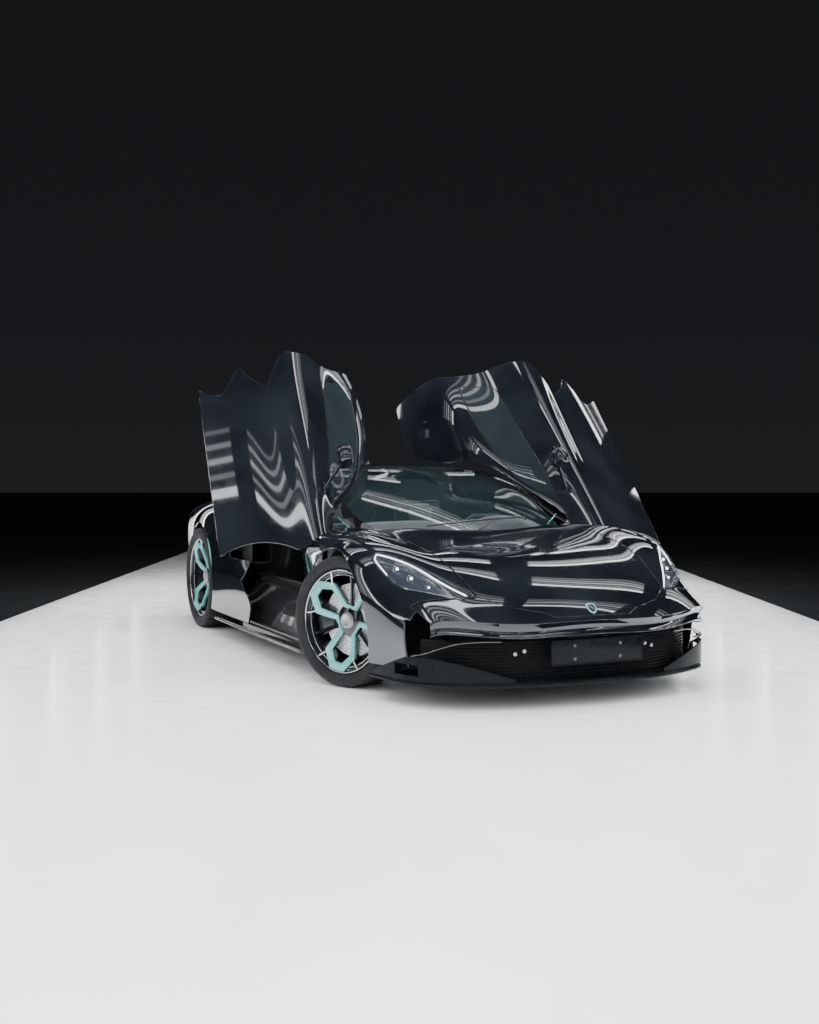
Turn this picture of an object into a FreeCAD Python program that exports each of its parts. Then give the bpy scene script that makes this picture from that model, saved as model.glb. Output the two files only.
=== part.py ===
import FreeCAD, Part
import math
import os

# Two-seat electric hypercar with butterfly doors, at real size in millimetres.
# Frame: origin on the floor under the middle of the body, +Z up, the nose looks
# along -Y, +X is the car's own left side.

os.makedirs("parts", exist_ok=True)
V = FreeCAD.Vector

# ---------------------------------------------------------------- driving sizes
LENGTH = 4750.0            # nose plate to tail
WIDTH = 1992.0             # over the fenders, without mirrors
HEIGHT = 1208.0
FRONT_AXLE_Y = -1300.0
REAR_AXLE_Y = 1445.0       # wheelbase 2745
FRONT_TRACK_HALF = 847.0
REAR_TRACK_HALF = 843.0
FRONT_TYRE_R = 350.0
REAR_TYRE_R = 364.0
FRONT_TYRE_HALF = 137.0
REAR_TYRE_HALF = 147.0
FRONT_RIM_R = 276.0
REAR_RIM_R = 283.0
DISC_R = 195.0
DISC_THICK = 32.0
KINGPIN_IN = 30.0          # kingpin inboard of the wheel's mid-plane
STEER_DEG = 25.1           # front wheels turned to the car's left at rest
FRONT_ARCH_R = 388.0
REAR_ARCH_R = 404.0
GROUND = 112.0             # lowest point of the flat floor
PANEL = 14.0               # thickness of an outer skin
DOOR_THICK = 58.0          # thickness of the door below its glass
FRAME_THICK = 30.0         # thickness of the window frame and roof flap
GLASS = 6.0
GAP = 9.0                  # shut line between two panels
DOOR_OPEN_DEG = 89.4
HINGE_POINT = (805.0, -795.0, 797.0)          # left door, at the foot of the pillar
HINGE_AXIS = (0.535, -0.769, -0.350)          # left door, closed to open is positive

BOW_POWER = 2.6            # the nose is flat in the middle and sweeps back at its corners

# ---------------------------------------------------------------- body surface
# One row per station. The net is a smooth surface's control net, half body.
# FRONT: y, bow (how far the station sweeps back at x 850), centre z,
#        ridge x z, valley x z, crest x z, shoulder x z, upper x z, waist x z, crease x z, sill x z
FRONT = [
    (-2370, 250, 424, 354, 411, 535, 420, 658, 435, 779, 441, 819, 412, 837, 360, 836, 290, 800, 185),
    (-2300, 250, 511, 367, 498, 548, 488, 672, 478, 792, 474, 834, 442, 847, 376, 846, 290, 815, 180),
    (-2160, 235, 593, 384, 585, 565, 572, 693, 570, 815, 545, 875, 500, 884, 404, 878, 295, 845, 176),
    (-1960, 190, 671, 405, 674, 586, 674, 745, 715, 886, 670, 954, 584, 941, 439, 926, 300, 888, 172),
    (-1760, 130, 720, 425, 728, 602, 727, 788, 779, 938, 734, 990, 641, 978, 478, 965, 310, 928, 170),
    (-1560, 70, 758, 446, 764, 616, 757, 808, 804, 950, 755, 990, 679, 991, 544, 986, 330, 956, 168),
    (-1360, 15, 792, 465, 796, 630, 785, 820, 832, 955, 780, 987, 705, 994, 590, 993, 350, 965, 166),
    (-1160, 0, 820, 485, 822, 645, 806, 828, 835, 956, 776, 989, 700, 993, 590, 992, 370, 965, 164),
    (-960, 0, 838, 500, 838, 655, 818, 842, 818, 954, 760, 988, 692, 988, 580, 990, 400, 965, 162),
    (-700, 0, 850, 510, 848, 660, 828, 872, 812, 952, 752, 985, 690, 970, 572, 990, 425, 968, 162),
]
# SIDE: y, crest x z, shoulder x z, upper x z, waist x z, crease x z, sill x z
SIDE = [
    (-1360, 820, 832, 955, 780, 987, 705, 994, 590, 993, 350, 965, 166),
    (-1160, 828, 835, 956, 776, 989, 700, 993, 590, 992, 370, 965, 164),
    (-960, 842, 818, 954, 760, 988, 692, 988, 580, 990, 400, 965, 162),
    (-700, 872, 812, 952, 752, 985, 690, 970, 572, 990, 425, 968, 162),
    (-400, 888, 826, 953, 763, 985, 691, 955, 568, 992, 438, 970, 162),
    (-100, 882, 848, 950, 770, 988, 692, 948, 568, 994, 445, 972, 162),
    (200, 862, 876, 945, 785, 993, 695, 962, 572, 995, 450, 974, 163),
    (450, 842, 898, 940, 815, 996, 710, 978, 580, 996, 455, 976, 164),
    (700, 830, 924, 935, 860, 990, 762, 986, 615, 995, 460, 980, 165),
    (1000, 830, 950, 935, 896, 985, 808, 992, 660, 995, 480, 985, 168),
    (1250, 830, 956, 938, 906, 986, 820, 994, 680, 994, 480, 985, 180),
    (1445, 826, 948, 932, 896, 980, 814, 988, 680, 988, 480, 980, 190),
    (1700, 812, 926, 905, 872, 948, 796, 960, 676, 962, 480, 950, 210),
    (1950, 788, 898, 868, 846, 908, 782, 920, 672, 920, 480, 900, 240),
    (2150, 768, 880, 838, 832, 876, 772, 888, 672, 884, 480, 855, 270),
    (2330, 745, 868, 806, 822, 840, 768, 850, 672, 846, 480, 818, 290),
]
# CANOPY: y, centre z, mid x z, rail x z, glass x z, belt x z
CANOPY = [
    (-1360, 765, 330, 722, 600, 640, 700, 690, 770, 790),
    (-1160, 838, 330, 808, 615, 735, 730, 745, 795, 808),
    (-960, 912, 340, 888, 650, 815, 760, 792, 816, 818),
    (-700, 1005, 350, 988, 700, 922, 782, 870, 850, 830),
    (-400, 1100, 345, 1088, 672, 1068, 744, 1012, 856, 864),
    (-100, 1176, 330, 1168, 610, 1170, 690, 1082, 838, 894),
    (200, 1206, 320, 1200, 592, 1194, 670, 1100, 804, 920),
    (450, 1207, 300, 1198, 560, 1168, 648, 1086, 772, 926),
    (700, 1190, 255, 1178, 488, 1120, 604, 1052, 752, 940),
    (1000, 1146, 212, 1136, 404, 1090, 552, 1024, 734, 954),
    (1250, 1098, 182, 1090, 352, 1056, 512, 1000, 718, 954),
    (1445, 1058, 166, 1052, 322, 1028, 484, 982, 708, 946),
    (1700, 1008, 156, 1004, 302, 990, 462, 958, 694, 928),
    (1950, 962, 150, 960, 292, 952, 448, 932, 682, 904),
    (2150, 928, 148, 926, 286, 920, 440, 908, 670, 888),
    (2330, 902, 145, 900, 280, 896, 434, 888, 652, 876),
]
# Shut line of the door: column number on the body net, front edge y, rear edge y
DOOR_EDGE = [
    (0.42, 300, 420), (0.50, 150, 590), (0.75, 80, 606), (1.0, -5, 606), (1.6, -112, 600), (2.0, -190, 585),
    (2.5, -362, 545), (3.0, -530, 512), (3.5, -640, 490), (4.0, -725, 478), (4.5, -790, 474), (5.0, -832, 470),
    (6.0, -892, 460), (7.0, -950, 448), (7.8, -1000, 255), (8.0, -998, 205), (8.8, -940, 288), (9.0, -930, 352),
    (9.6, -930, 165), (10.0, -960, 226),
]
# Side glass in the door: column number, front edge y, rear edge y
GLASS_EDGE = [(2.80, -345, 405), (3.00, -450, 404), (3.50, -560, 370), (4.00, -632, 338), (4.20, -655, 326)]
GLASS_TOP, GLASS_LOW = 2.80, 4.20
# Outline of the left headlight: row number, column number on the front net
LAMP = [
    (1.62, 2.11), (1.87, 2.33), (2.30, 2.69), (2.77, 2.98), (3.21, 3.28), (3.50, 3.46), (3.80, 3.66), (3.71, 3.87),
    (3.51, 4.01), (3.12, 4.12), (2.79, 4.20), (2.51, 4.25), (2.24, 4.12), (2.05, 3.84), (1.72, 3.10), (1.56, 2.68),
    (1.49, 2.39),
]
# Front edge of the bonnet: column number, row number
BONNET_EDGE = [(0.0, 0.28), (0.62, 0.28), (0.75, 0.55), (1.40, 1.02), (1.97, 1.62)]
COWL_Y0, COWL_SWEEP = -1232.0, 455.0          # rear edge of the bonnet, at x 0 and how far back at x 800


def basis(t):
    return ((1 - t) ** 3 / 6.0, (3 * t ** 3 - 6 * t * t + 4) / 6.0,
            (-3 * t ** 3 + 3 * t * t + 3 * t + 1) / 6.0, t ** 3 / 6.0)


class Net:
    """Uniform cubic surface over a grid of control points, symmetric about x = 0 at column 0."""

    def __init__(self, rows):
        def ends(line, mirror):
            a, b, y, z = line[0], line[1], line[-1], line[-2]
            first = (-b[0], b[1], b[2]) if mirror else tuple(2 * p - q for p, q in zip(a, b))
            return [first] + list(line) + [tuple(2 * p - q for p, q in zip(y, z))]
        wide = [ends(r, True) for r in rows]
        top = [tuple(2 * p - q for p, q in zip(a, b)) for a, b in zip(wide[0], wide[1])]
        end = [tuple(2 * p - q for p, q in zip(a, b)) for a, b in zip(wide[-1], wide[-2])]
        self.grid = [top] + wide + [end]
        self.nu, self.nv = len(rows) - 1, len(rows[0]) - 1

    def at(self, u, v):
        u = min(max(u, 0.0), self.nu - 1e-9)
        v = min(max(v, 0.0), self.nv - 1e-9)
        i, j = int(u), int(v)
        bu, bv = basis(u - i), basis(v - j)
        x = y = z = 0.0
        for a in range(4):
            for b in range(4):
                w = bu[a] * bv[b]
                p = self.grid[i + a][j + b]
                x += w * p[0]
                y += w * p[1]
                z += w * p[2]
        return (x, y, z)

    def row_of(self, y, v=0.0):
        lo, hi = 0.0, float(self.nu)
        for _ in range(40):
            m = (lo + hi) / 2
            if self.at(m, v)[1] < y:
                lo = m
            else:
                hi = m
        return lo


def front_net():
    rows = []
    for r in FRONT:
        y, bow, c = r[0], r[1], r[2]
        pts = [(0.0, float(y), float(c))]
        for k in range(3, len(r), 2):
            x = float(r[k])
            pts.append((x, y + bow * (x / 850.0) ** BOW_POWER, float(r[k + 1])))
        rows.append(pts)
    return Net(rows)


def cabin_net():
    rows = []
    for c, s in zip(CANOPY, SIDE):
        y = float(c[0])
        pts = [(0.0, y, float(c[1]))]
        pts += [(float(c[k]), y, float(c[k + 1])) for k in range(2, len(c), 2)]
        pts += [(float(s[k]), y, float(s[k + 1])) for k in range(1, len(s), 2)]
        rows.append(pts)
    return Net(rows)


FRONT_NET = front_net()
CABIN_NET = cabin_net()


def between(table, v, col):
    if v <= table[0][0]:
        return table[0][col]
    for a, b in zip(table, table[1:]):
        if v <= b[0]:
            return a[col] + (b[col] - a[col]) * (v - a[0]) / (b[0] - a[0])
    return table[-1][col]


def clip(points, tris, keep):
    """Cut a triangle mesh at keep(point) = 0; points carry x, y, z, u, v."""
    f = [keep(p) for p in points]
    pts = [list(p) for p in points]
    edges = set()
    for t in tris:
        for a, b in ((t[0], t[1]), (t[1], t[2]), (t[2], t[0])):
            edges.add((min(a, b), max(a, b)))
    moved = set()
    for a, b in sorted(edges):
        if (f[a] > 0) == (f[b] > 0) or f[a] == 0 or f[b] == 0:
            continue
        t = f[a] / (f[a] - f[b])
        if t < 0.22 and a not in moved:
            pts[a] = [p + (q - p) * t for p, q in zip(points[a], points[b])]
            moved.add(a)
            f[a] = 0.0
        elif t > 0.78 and b not in moved:
            pts[b] = [p + (q - p) * t for p, q in zip(points[a], points[b])]
            moved.add(b)
            f[b] = 0.0
    cuts, out = {}, []

    def cut(a, b):
        key = (min(a, b), max(a, b))
        if key not in cuts:
            t = f[a] / (f[a] - f[b])
            pts.append([p + (q - p) * t for p, q in zip(pts[a], pts[b])])
            cuts[key] = len(pts) - 1
        return cuts[key]

    for t in tris:
        poly = []
        if all(f[i] <= 0 for i in t):
            continue
        for k in range(3):
            a, b = t[k], t[(k + 1) % 3]
            if f[a] >= 0:
                poly.append(a)
            if (f[a] > 0 and f[b] < 0) or (f[a] < 0 and f[b] > 0):
                poly.append(cut(a, b))
        for k in range(1, len(poly) - 1):
            if len({poly[0], poly[k], poly[k + 1]}) == 3:
                out.append((poly[0], poly[k], poly[k + 1]))
    return pts, out


def mesh_patch(net, ua, ub, nu, cols):
    """Grid of nu strips in length by the given column numbers."""
    pts, tris = [], []
    nv = len(cols) - 1
    for i in range(nu + 1):
        u = ua + (ub - ua) * i / nu
        for v in cols:
            pts.append(net.at(u, v) + (u, v))
    for i in range(nu):
        for j in range(nv):
            a, b = i * (nv + 1) + j, (i + 1) * (nv + 1) + j
            tris.append((a, b, b + 1))
            tris.append((a, b + 1, a + 1))
    return pts, tris


def compact(pts, tris):
    used = sorted({i for t in tris for i in t})
    new = {i: n for n, i in enumerate(used)}
    return [pts[i] for i in used], [tuple(new[i] for i in t) for t in tris]


def thicken(pts, tris, thick):
    """Closed solid from an open skin: thick(point) inward, sides all round."""
    pts, tris = compact(pts, tris)
    n = [[0.0, 0.0, 0.0] for _ in pts]
    for a, b, c in tris:
        p, q, r = pts[a], pts[b], pts[c]
        e, g = [q[k] - p[k] for k in range(3)], [r[k] - p[k] for k in range(3)]
        m = (e[1] * g[2] - e[2] * g[1], e[2] * g[0] - e[0] * g[2], e[0] * g[1] - e[1] * g[0])
        for i in (a, b, c):
            for k in range(3):
                n[i][k] += m[k]
    low = []
    for p, m in zip(pts, n):
        s = math.sqrt(sum(c * c for c in m)) or 1.0
        d = thick(p) if callable(thick) else thick
        low.append([p[k] + m[k] / s * d for k in range(3)])
    count = len(pts)
    facets = [tuple(t) for t in tris] + [(a + count, c + count, b + count) for a, b, c in tris]
    seen = {}
    for t in tris:
        for a, b in ((t[0], t[1]), (t[1], t[2]), (t[2], t[0])):
            seen[(a, b)] = seen.get((a, b), 0) + 1
    for a, b in list(seen):
        if (b, a) not in seen:
            facets.append((b, a, a + count))
            facets.append((b, a + count, b + count))
    return [p[:3] for p in pts] + low, facets


def solid_of(pts, facets):
    faces = []
    for f in facets:
        loop = [V(*pts[i]) for i in f]
        if (loop[1] - loop[0]).cross(loop[2] - loop[0]).Length < 1e-6:
            continue
        faces.append(Part.Face(Part.makePolygon(loop + [loop[0]])))
    shell = Part.makeShell(faces)
    if not shell.isClosed():
        shell.sewShape()
    s = Part.makeSolid(Part.Shell(shell.Faces) if shell.ShapeType != "Shell" else shell)
    if s.Volume < 0:
        s.reverse()
    return s


def spread(a, b, n):
    return [a + (b - a) * k / n for k in range(n + 1)]


def skin(net, ya, yb, nu, cols, keeps, thick):
    mid = (cols[0] + cols[-1]) / 2
    ua, ub = net.row_of(ya, mid), net.row_of(yb, mid)
    pts, tris = mesh_patch(net, ua, ub, nu, cols)
    for k in keeps:
        pts, tris = clip(pts, tris, k)
    return solid_of(*thicken(pts, tris, thick))


def full(net, ya, yb, nu, vb, nv, keeps, thick):
    """Skin over both halves of the car, x from -to +."""
    ua, ub = net.row_of(ya), net.row_of(yb)
    pts, tris = [], []
    for i in range(nu + 1):
        u = ua + (ub - ua) * i / nu
        for j in range(-nv, nv + 1):
            v = vb * abs(j) / nv
            x, y, z = net.at(u, v)
            pts.append((x if j >= 0 else -x, y, z, u, v))
    w = 2 * nv + 1
    for i in range(nu):
        for j in range(w - 1):
            a, b = i * w + j, (i + 1) * w + j
            tris.append((a, b, b + 1))
            tris.append((a, b + 1, a + 1))
    for k in keeps:
        pts, tris = clip(pts, tris, k)
    return solid_of(*thicken(pts, tris, thick))


def mirrored(s):
    return s.mirror(V(0, 0, 0), V(1, 0, 0))


def box(x0, y0, z0, x1, y1, z1):
    return Part.makeBox(x1 - x0, y1 - y0, z1 - z0, V(x0, y0, z0))


def prism_x(profile, x0, x1):
    """Closed side-view profile of (y, z), pulled along X."""
    w = Part.makePolygon([V(x0, y, z) for y, z in profile] + [V(x0, *profile[0])])
    return Part.Face(w).extrude(V(x1 - x0, 0, 0))


def prism_y(profile, y0, y1):
    w = Part.makePolygon([V(x, y0, z) for x, z in profile] + [V(profile[0][0], y0, profile[0][1])])
    return Part.Face(w).extrude(V(0, y1 - y0, 0))


def prism_z(profile, z0, z1):
    w = Part.makePolygon([V(x, y, z0) for x, y in profile] + [V(profile[0][0], profile[0][1], z0)])
    return Part.Face(w).extrude(V(0, 0, z1 - z0))


def turned(profile):
    """Closed profile of (x, radius) turned about the X axis."""
    w = Part.makePolygon([V(x, 0, r) for x, r in profile] + [V(profile[0][0], 0, profile[0][1])])
    return Part.Face(w).revolve(V(0, 0, 0), V(1, 0, 0), 360)


def bar(p, q, r):
    """Round bar from p to q."""
    p, q = V(*p), V(*q)
    return Part.makeCylinder(r, (q - p).Length, p, q - p)


def union(shapes):
    s = shapes[0]
    for o in shapes[1:]:
        s = s.fuse(o)
    return s.removeSplitter()


def save(name, *shapes):
    s = shapes[0] if len(shapes) == 1 else Part.makeCompound(list(shapes))
    s.exportStep(os.path.join("parts", name + ".step"))
    print(name, len(s.Solids), len(s.Faces), round(s.Volume / 1e6, 2), "valid" if s.isValid() else "INVALID")


# ---------------------------------------------------------------- shut lines as functions
def arch(y0, z0, r):
    return lambda p: math.hypot(p[1] - y0, p[2] - z0) - r if abs(p[0]) > 600 else 500.0


front_arch = arch(FRONT_AXLE_Y, FRONT_TYRE_R, FRONT_ARCH_R)
rear_arch = arch(REAR_AXLE_Y, REAR_TYRE_R, REAR_ARCH_R)


def door_in(p):
    """Positive inside the door's outline on the cabin net."""
    y, v = p[1], p[4]
    return min(y - between(DOOR_EDGE, v, 1), between(DOOR_EDGE, v, 2) - y, (v - 0.42) * 300.0)


def glass_in(p):
    y, v = p[1], p[4]
    return min(y - between(GLASS_EDGE, v, 1), between(GLASS_EDGE, v, 2) - y, (v - GLASS_TOP) * 110.0, (GLASS_LOW - v) * 150.0)


def cowl(p):
    """Positive behind the rear edge of the bonnet."""
    return p[1] - (COWL_Y0 + COWL_SWEEP * (p[0] / 800.0) ** 2)


DOOR_COLS = [0.42, 0.5, 0.75, 1.0, 1.3, 1.6, 1.8, 2.0, 2.25, 2.5, 2.8, 3.0, 3.25, 3.5, 3.75, 4.0, 4.2, 4.5,
             4.75, 5.0, 5.33, 5.66, 6.0, 6.33, 6.66, 7.0, 7.4, 7.8, 8.0, 8.4, 8.8, 9.0, 9.3, 9.6, 9.8, 10.0]

# ---------------------------------------------------------------- outer panels
def bonnet_front(v):
    return between(BONNET_EDGE, v, 1)


def in_lamp(p):
    """Distance in mm inside the headlight's outline, negative outside."""
    a, b = p[3] * 200.0, p[4] * 130.0
    best, inside = 1e9, False
    for k in range(len(LAMP)):
        x0, y0 = LAMP[k - 1][0] * 200.0, LAMP[k - 1][1] * 130.0
        x1, y1 = LAMP[k][0] * 200.0, LAMP[k][1] * 130.0
        dx, dy = x1 - x0, y1 - y0
        t = min(max(((a - x0) * dx + (b - y0) * dy) / (dx * dx + dy * dy), 0.0), 1.0)
        best = min(best, math.hypot(a - x0 - t * dx, b - y0 - t * dy))
        if (y0 > b) != (y1 > b) and a < x0 + (b - y0) * dx / dy:
            inside = not inside
    return best if inside else -best


def sunk(pts, tris, depth):
    """The same open skin, moved inward along its normals."""
    pts, tris = compact(pts, tris)
    moved = thicken(pts, tris, depth)[0][len(pts):]
    return [list(m) + list(p[3:]) for m, p in zip(moved, pts)], tris


bonnet = full(FRONT_NET, -2370, -1100, 18, 1.95, 8,
              [lambda p: -cowl(p) - GAP, lambda p: (p[3] - bonnet_front(p[4])) * 150.0,
               lambda p: -in_lamp(p) - GAP / 2], PANEL)
save("bonnet", bonnet)
AIR_CURTAIN_Y = -1975.0    # lower front edge of the fender, behind the corner of the nose
NOSE_V = 4.6               # the nose wraps round to this column
NOSE_U = 1.50              # and back to this row under the headlights


def air_curtain(p):
    return max(p[2] - 425.0, p[1] - AIR_CURTAIN_Y)


fender = skin(FRONT_NET, -2370, -800, 22, [2.02] + spread(2.2, 8.0, 20),
              [front_arch, air_curtain, lambda p: -in_lamp(p) - 6.0,
               lambda p: max((p[3] - NOSE_U) * 200.0, (p[4] - NOSE_V) * 100.0) - GAP,
               lambda p: -cowl(p) - GAP if p[4] < 3.2 else 50.0,
               lambda p: -(p[1] - between(DOOR_EDGE, p[4] + 2.0, 1)) - GAP,
               lambda p: 1.0 if p[1] < FRONT_AXLE_Y else p[2] - 600.0], PANEL)
LAMP_COLS = spread(1.9, 4.45, 17)
pts, tris = mesh_patch(FRONT_NET, 1.3, 3.95, 18, LAMP_COLS)
lens_pts, lens_tris = clip(pts, tris, lambda p: in_lamp(p) - 9.0)
lens = solid_of(*thicken(lens_pts, lens_tris, 5.0))
save("headlights", lens, mirrored(lens))
bowl_pts, bowl_tris = clip(pts, tris, lambda p: in_lamp(p) - 12.0)
bowl_pts, bowl_tris = sunk(bowl_pts, bowl_tris, 46.0)
bowl = solid_of(*thicken(bowl_pts, bowl_tris, 8.0))
save("headlight_bowls", bowl, mirrored(bowl))

PILLAR = 54.0              # width of the fixed pillar beside the door's front edge
SWEEP_GAP = 37.0           # wider gap where the door's edge sweeps past the pillar and the roof


def beside_door(p):
    return between(DOOR_EDGE, p[4], 1) - p[1]


screen = full(CABIN_NET, -1300, 20, 14, 2.0, 8,
              [lambda p: cowl(p) - GAP / 2, lambda p: -60.0 - p[1] - 60.0 * (p[0] / 600.0) ** 2,
               lambda p: beside_door(p) - PILLAR - GAP - 9.0 if p[4] > 0.42 else 50.0], GLASS)
save("windscreen", screen)


def roof_front(p):
    """Positive in front of the roof panel's front edge."""
    return -40.0 - p[1] - 60.0 * (p[0] / 600.0) ** 2


pillar = skin(CABIN_NET, -1000, 120, 40, spread(0.5, 4.0, 22),
              [lambda p: cowl(p) - GAP / 2, lambda p: beside_door(p) - SWEEP_GAP, lambda p: PILLAR + GAP - 1.0 - beside_door(p),
               lambda p: roof_front(p) - 3.0], 20.0)
save("pillars", pillar, mirrored(pillar))



def door_depth(p):
    """Thin at its outline and along the front edge, which swings over the fender."""
    full_depth = DOOR_THICK if p[4] > 4.8 else (FRAME_THICK if p[4] < 4.2 else
                                                FRAME_THICK + (DOOR_THICK - FRAME_THICK) * (p[4] - 4.2) / 0.6)
    ahead, inside = p[1] - between(DOOR_EDGE, p[4], 1), door_in(p)
    flange = 7.0 if inside < 22.0 else 7.0 + (inside - 22.0) * 0.6
    thin = 7.0 if ahead < 90.0 else 7.0 + (full_depth - 7.0) * (ahead - 90.0) / 120.0
    return min(full_depth, flange, thin) if p[4] > 3.6 else min(full_depth, flange)


door_skin = skin(CABIN_NET, -1030, 620, 22, DOOR_COLS,
                 [door_in, lambda p: -glass_in(p) if 2.4 < p[4] < 4.6 else 50.0, front_arch],
                 door_depth)
door_pane = skin(CABIN_NET, -700, 450, 8, spread(2.7, 4.3, 6), [lambda p: min(glass_in(p) - 14.0, p[1] - between(GLASS_EDGE, p[4], 1) - 45.0)], GLASS)
hinge = V(*HINGE_POINT)
swing = V(*HINGE_AXIS)
mirror_head = prism_z([(985, -495), (1100, -515), (1108, -470), (1096, -400), (1000, -390)], 905, 985)
mirror_stalk = bar((912, -560, 812), (1010, -470, 925), 11)
mirror_piece = union([mirror_head, mirror_stalk]).cut(door_skin)
mirror_piece = max(mirror_piece.Solids, key=lambda m: m.Volume)


def opened(s):
    t = s.copy()
    t.rotate(hinge, swing, DOOR_OPEN_DEG)
    return t


swing.normalize()
PIN_R = 10.0


def on_axis(t):
    return hinge + swing * t


arm = Part.makeCylinder(21, 24, on_axis(-12), swing).fuse(bar(tuple(on_axis(0)), (902, -640, 742), 12))
arm = arm.cut(Part.makeCylinder(PIN_R + 0.4, 80, on_axis(-40), swing)).cut(door_skin)
arm = max(arm.Solids, key=lambda m: m.Volume)
pin = Part.makeCylinder(PIN_R, 66, on_axis(-16), swing).fuse(Part.makeCylinder(19, 14, on_axis(26), swing))
pin = pin.fuse(bar(tuple(on_axis(33)), (782, -868, 668), 13))
save("door_hinges", pin, mirrored(pin))
for name, s in (("door", door_skin), ("door_glass", door_pane), ("door_mirror", mirror_piece), ("door_hinge_arm", arm)):
    o = opened(s)
    save(name + "_left", o)
    save(name + "_right", mirrored(o))

# the fender's rear top gives room to the open door's front edge and to the hinge
EDGE_ROOM = 8.0
pts, tris = mesh_patch(CABIN_NET, CABIN_NET.row_of(-940, 4.5), CABIN_NET.row_of(-600, 4.5), 8, spread(3.2, 6.6, 14))
pts, tris = clip(pts, tris, lambda p: door_in(p) + EDGE_ROOM)
pts, tris = sunk(pts, tris, -EDGE_ROOM)
room = opened(solid_of(*thicken(pts, tris, lambda p: door_depth(p) + 2 * EDGE_ROOM if p[1] - between(DOOR_EDGE, p[4], 1) > 0 else 7.0 + 2 * EDGE_ROOM)))
fender = fender.cut(room).cut(Part.makeCylinder(24, 80, on_axis(-30), swing))
fender = max(fender.Solids, key=lambda m: m.Volume)
save("fender_left", fender)
save("fender_right", mirrored(fender))

ROOF_THICK = 24.0
LID_Y = 655.0              # hinge line of the rear lid
roof = full(CABIN_NET, -130, 645, 12, 2.2, 8,
            [lambda p: -roof_front(p) - 3.0,
             lambda p: -door_in(p) - (SWEEP_GAP if p[1] < 100.0 else GAP + 7.0)], ROOF_THICK)
save("roof", roof)
lid = full(CABIN_NET, LID_Y, 2255, 20, 3.0, 10, [lambda p: (2.95 - p[4]) * 100.0,
           lambda p: max(p[1] - 1180.0, 720.0 - p[1], (p[4] - 1.75) * 150.0)], 18.0)
save("rear_lid", lid)
lid_pane = full(CABIN_NET, LID_Y, 1300, 10, 1.9, 7, [lambda p: 1150.0 - p[1], lambda p: p[1] - 746.0,
                lambda p: (1.60 - p[4]) * 150.0], GLASS)
save("rear_window", lid_pane)

quarter = skin(CABIN_NET, 120, 2330, 26, [3.05, 3.5, 4.0] + DOOR_COLS[17:],
               [rear_arch, lambda p: -door_in(p) - (GAP if p[2] > 330.0 else GAP + 9.0),
                lambda p: max(560.0 - p[2], p[1] - 620.0, p[2] - 690.0) if p[1] > 150 else 50.0,
                lambda p: max(2250.0 - p[1], (p[4] - 4.15) * 100.0)], PANEL)
save("quarter_left", quarter)
save("quarter_right", mirrored(quarter))


# ---------------------------------------------------------------- nose
def nose_y(x):
    return FRONT[0][0] + FRONT[0][1] * (x / 850.0) ** BOW_POWER


def nose_net():
    """From the crease of the nose down to the lip over the grille, and under it."""
    first = [(x, y, z) for x, y, z in [(0.0, float(FRONT[0][0]), float(FRONT[0][2]))] +
             [(float(FRONT[0][k]), nose_y(FRONT[0][k]), float(FRONT[0][k + 1])) for k in range(3, 15, 2)]]
    return Net([[(x * (1 - dy / 1600.0), y + dy, z - dz) for x, y, z in first]
                for dy, dz in ((0, 0), (16, 20), (24, 42), (10, 62), (2, 72), (34, 80), (66, 82))])


NOSE_NET = nose_net()
NOSE_BACK = BONNET_EDGE + [(2.05, NOSE_U), (5.0, NOSE_U)]
pts, tris = [], []
ROWS, HALF = [1.7 * (1 - i / 10.0) for i in range(10)] + [-0.5 * i for i in range(13)], 17
for u in ROWS:
    for j in range(-HALF, HALF + 1):
        v = NOSE_V * abs(j) / HALF
        x, y, z = FRONT_NET.at(u, v) if u > 0 else NOSE_NET.at(-u, v)
        pts.append((x if j >= 0 else -x, y, z, u, v))
for i in range(len(ROWS) - 1):
    for j in range(2 * HALF):
        a, b = i * (2 * HALF + 1) + j, (i + 1) * (2 * HALF + 1) + j
        tris.append((a, a + 1, b + 1))
        tris.append((a, b + 1, b))
pts, tris = clip(pts, tris, lambda p: (between(NOSE_BACK, p[4], 1) - p[3]) * 150.0 - GAP)
pts, tris = clip(pts, tris, lambda p: -in_lamp(p) - GAP / 2 if p[3] > 0.5 else 50.0)
save("nose", solid_of(*thicken(pts, tris, 9.0)))


def loft(sections):
    """Closed flat-faced solid through sections with the same number of points."""
    n, points, facets = len(sections[0]), [p for sec in sections for p in sec], []
    for i in range(len(sections) - 1):
        for k in range(n):
            a, b = i * n + k, i * n + (k + 1) % n
            facets += [(a, b, b + n), (a, b + n, a + n)]
    last = (len(sections) - 1) * n
    for k in range(1, n - 1):
        facets += [(0, k + 1, k), (last, last + k, last + k + 1)]
    return solid_of(points, facets)


def strip(path, depth, low):
    """Blade along a path of (x, y, z): depth inward in plan, bottom at low(z)."""
    out = []
    for k, (x, y, z) in enumerate(path):
        a, b = path[max(k - 1, 0)], path[min(k + 1, len(path) - 1)]
        dx, dy = b[0] - a[0], b[1] - a[1]
        n = math.hypot(dx, dy)
        ix, iy = -dy / n * depth, dx / n * depth
        out.append([(x, y, low(z)), (x, y, z), (x + ix, y + iy, z), (x + ix, y + iy, low(z))])
    return loft(out)


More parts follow.
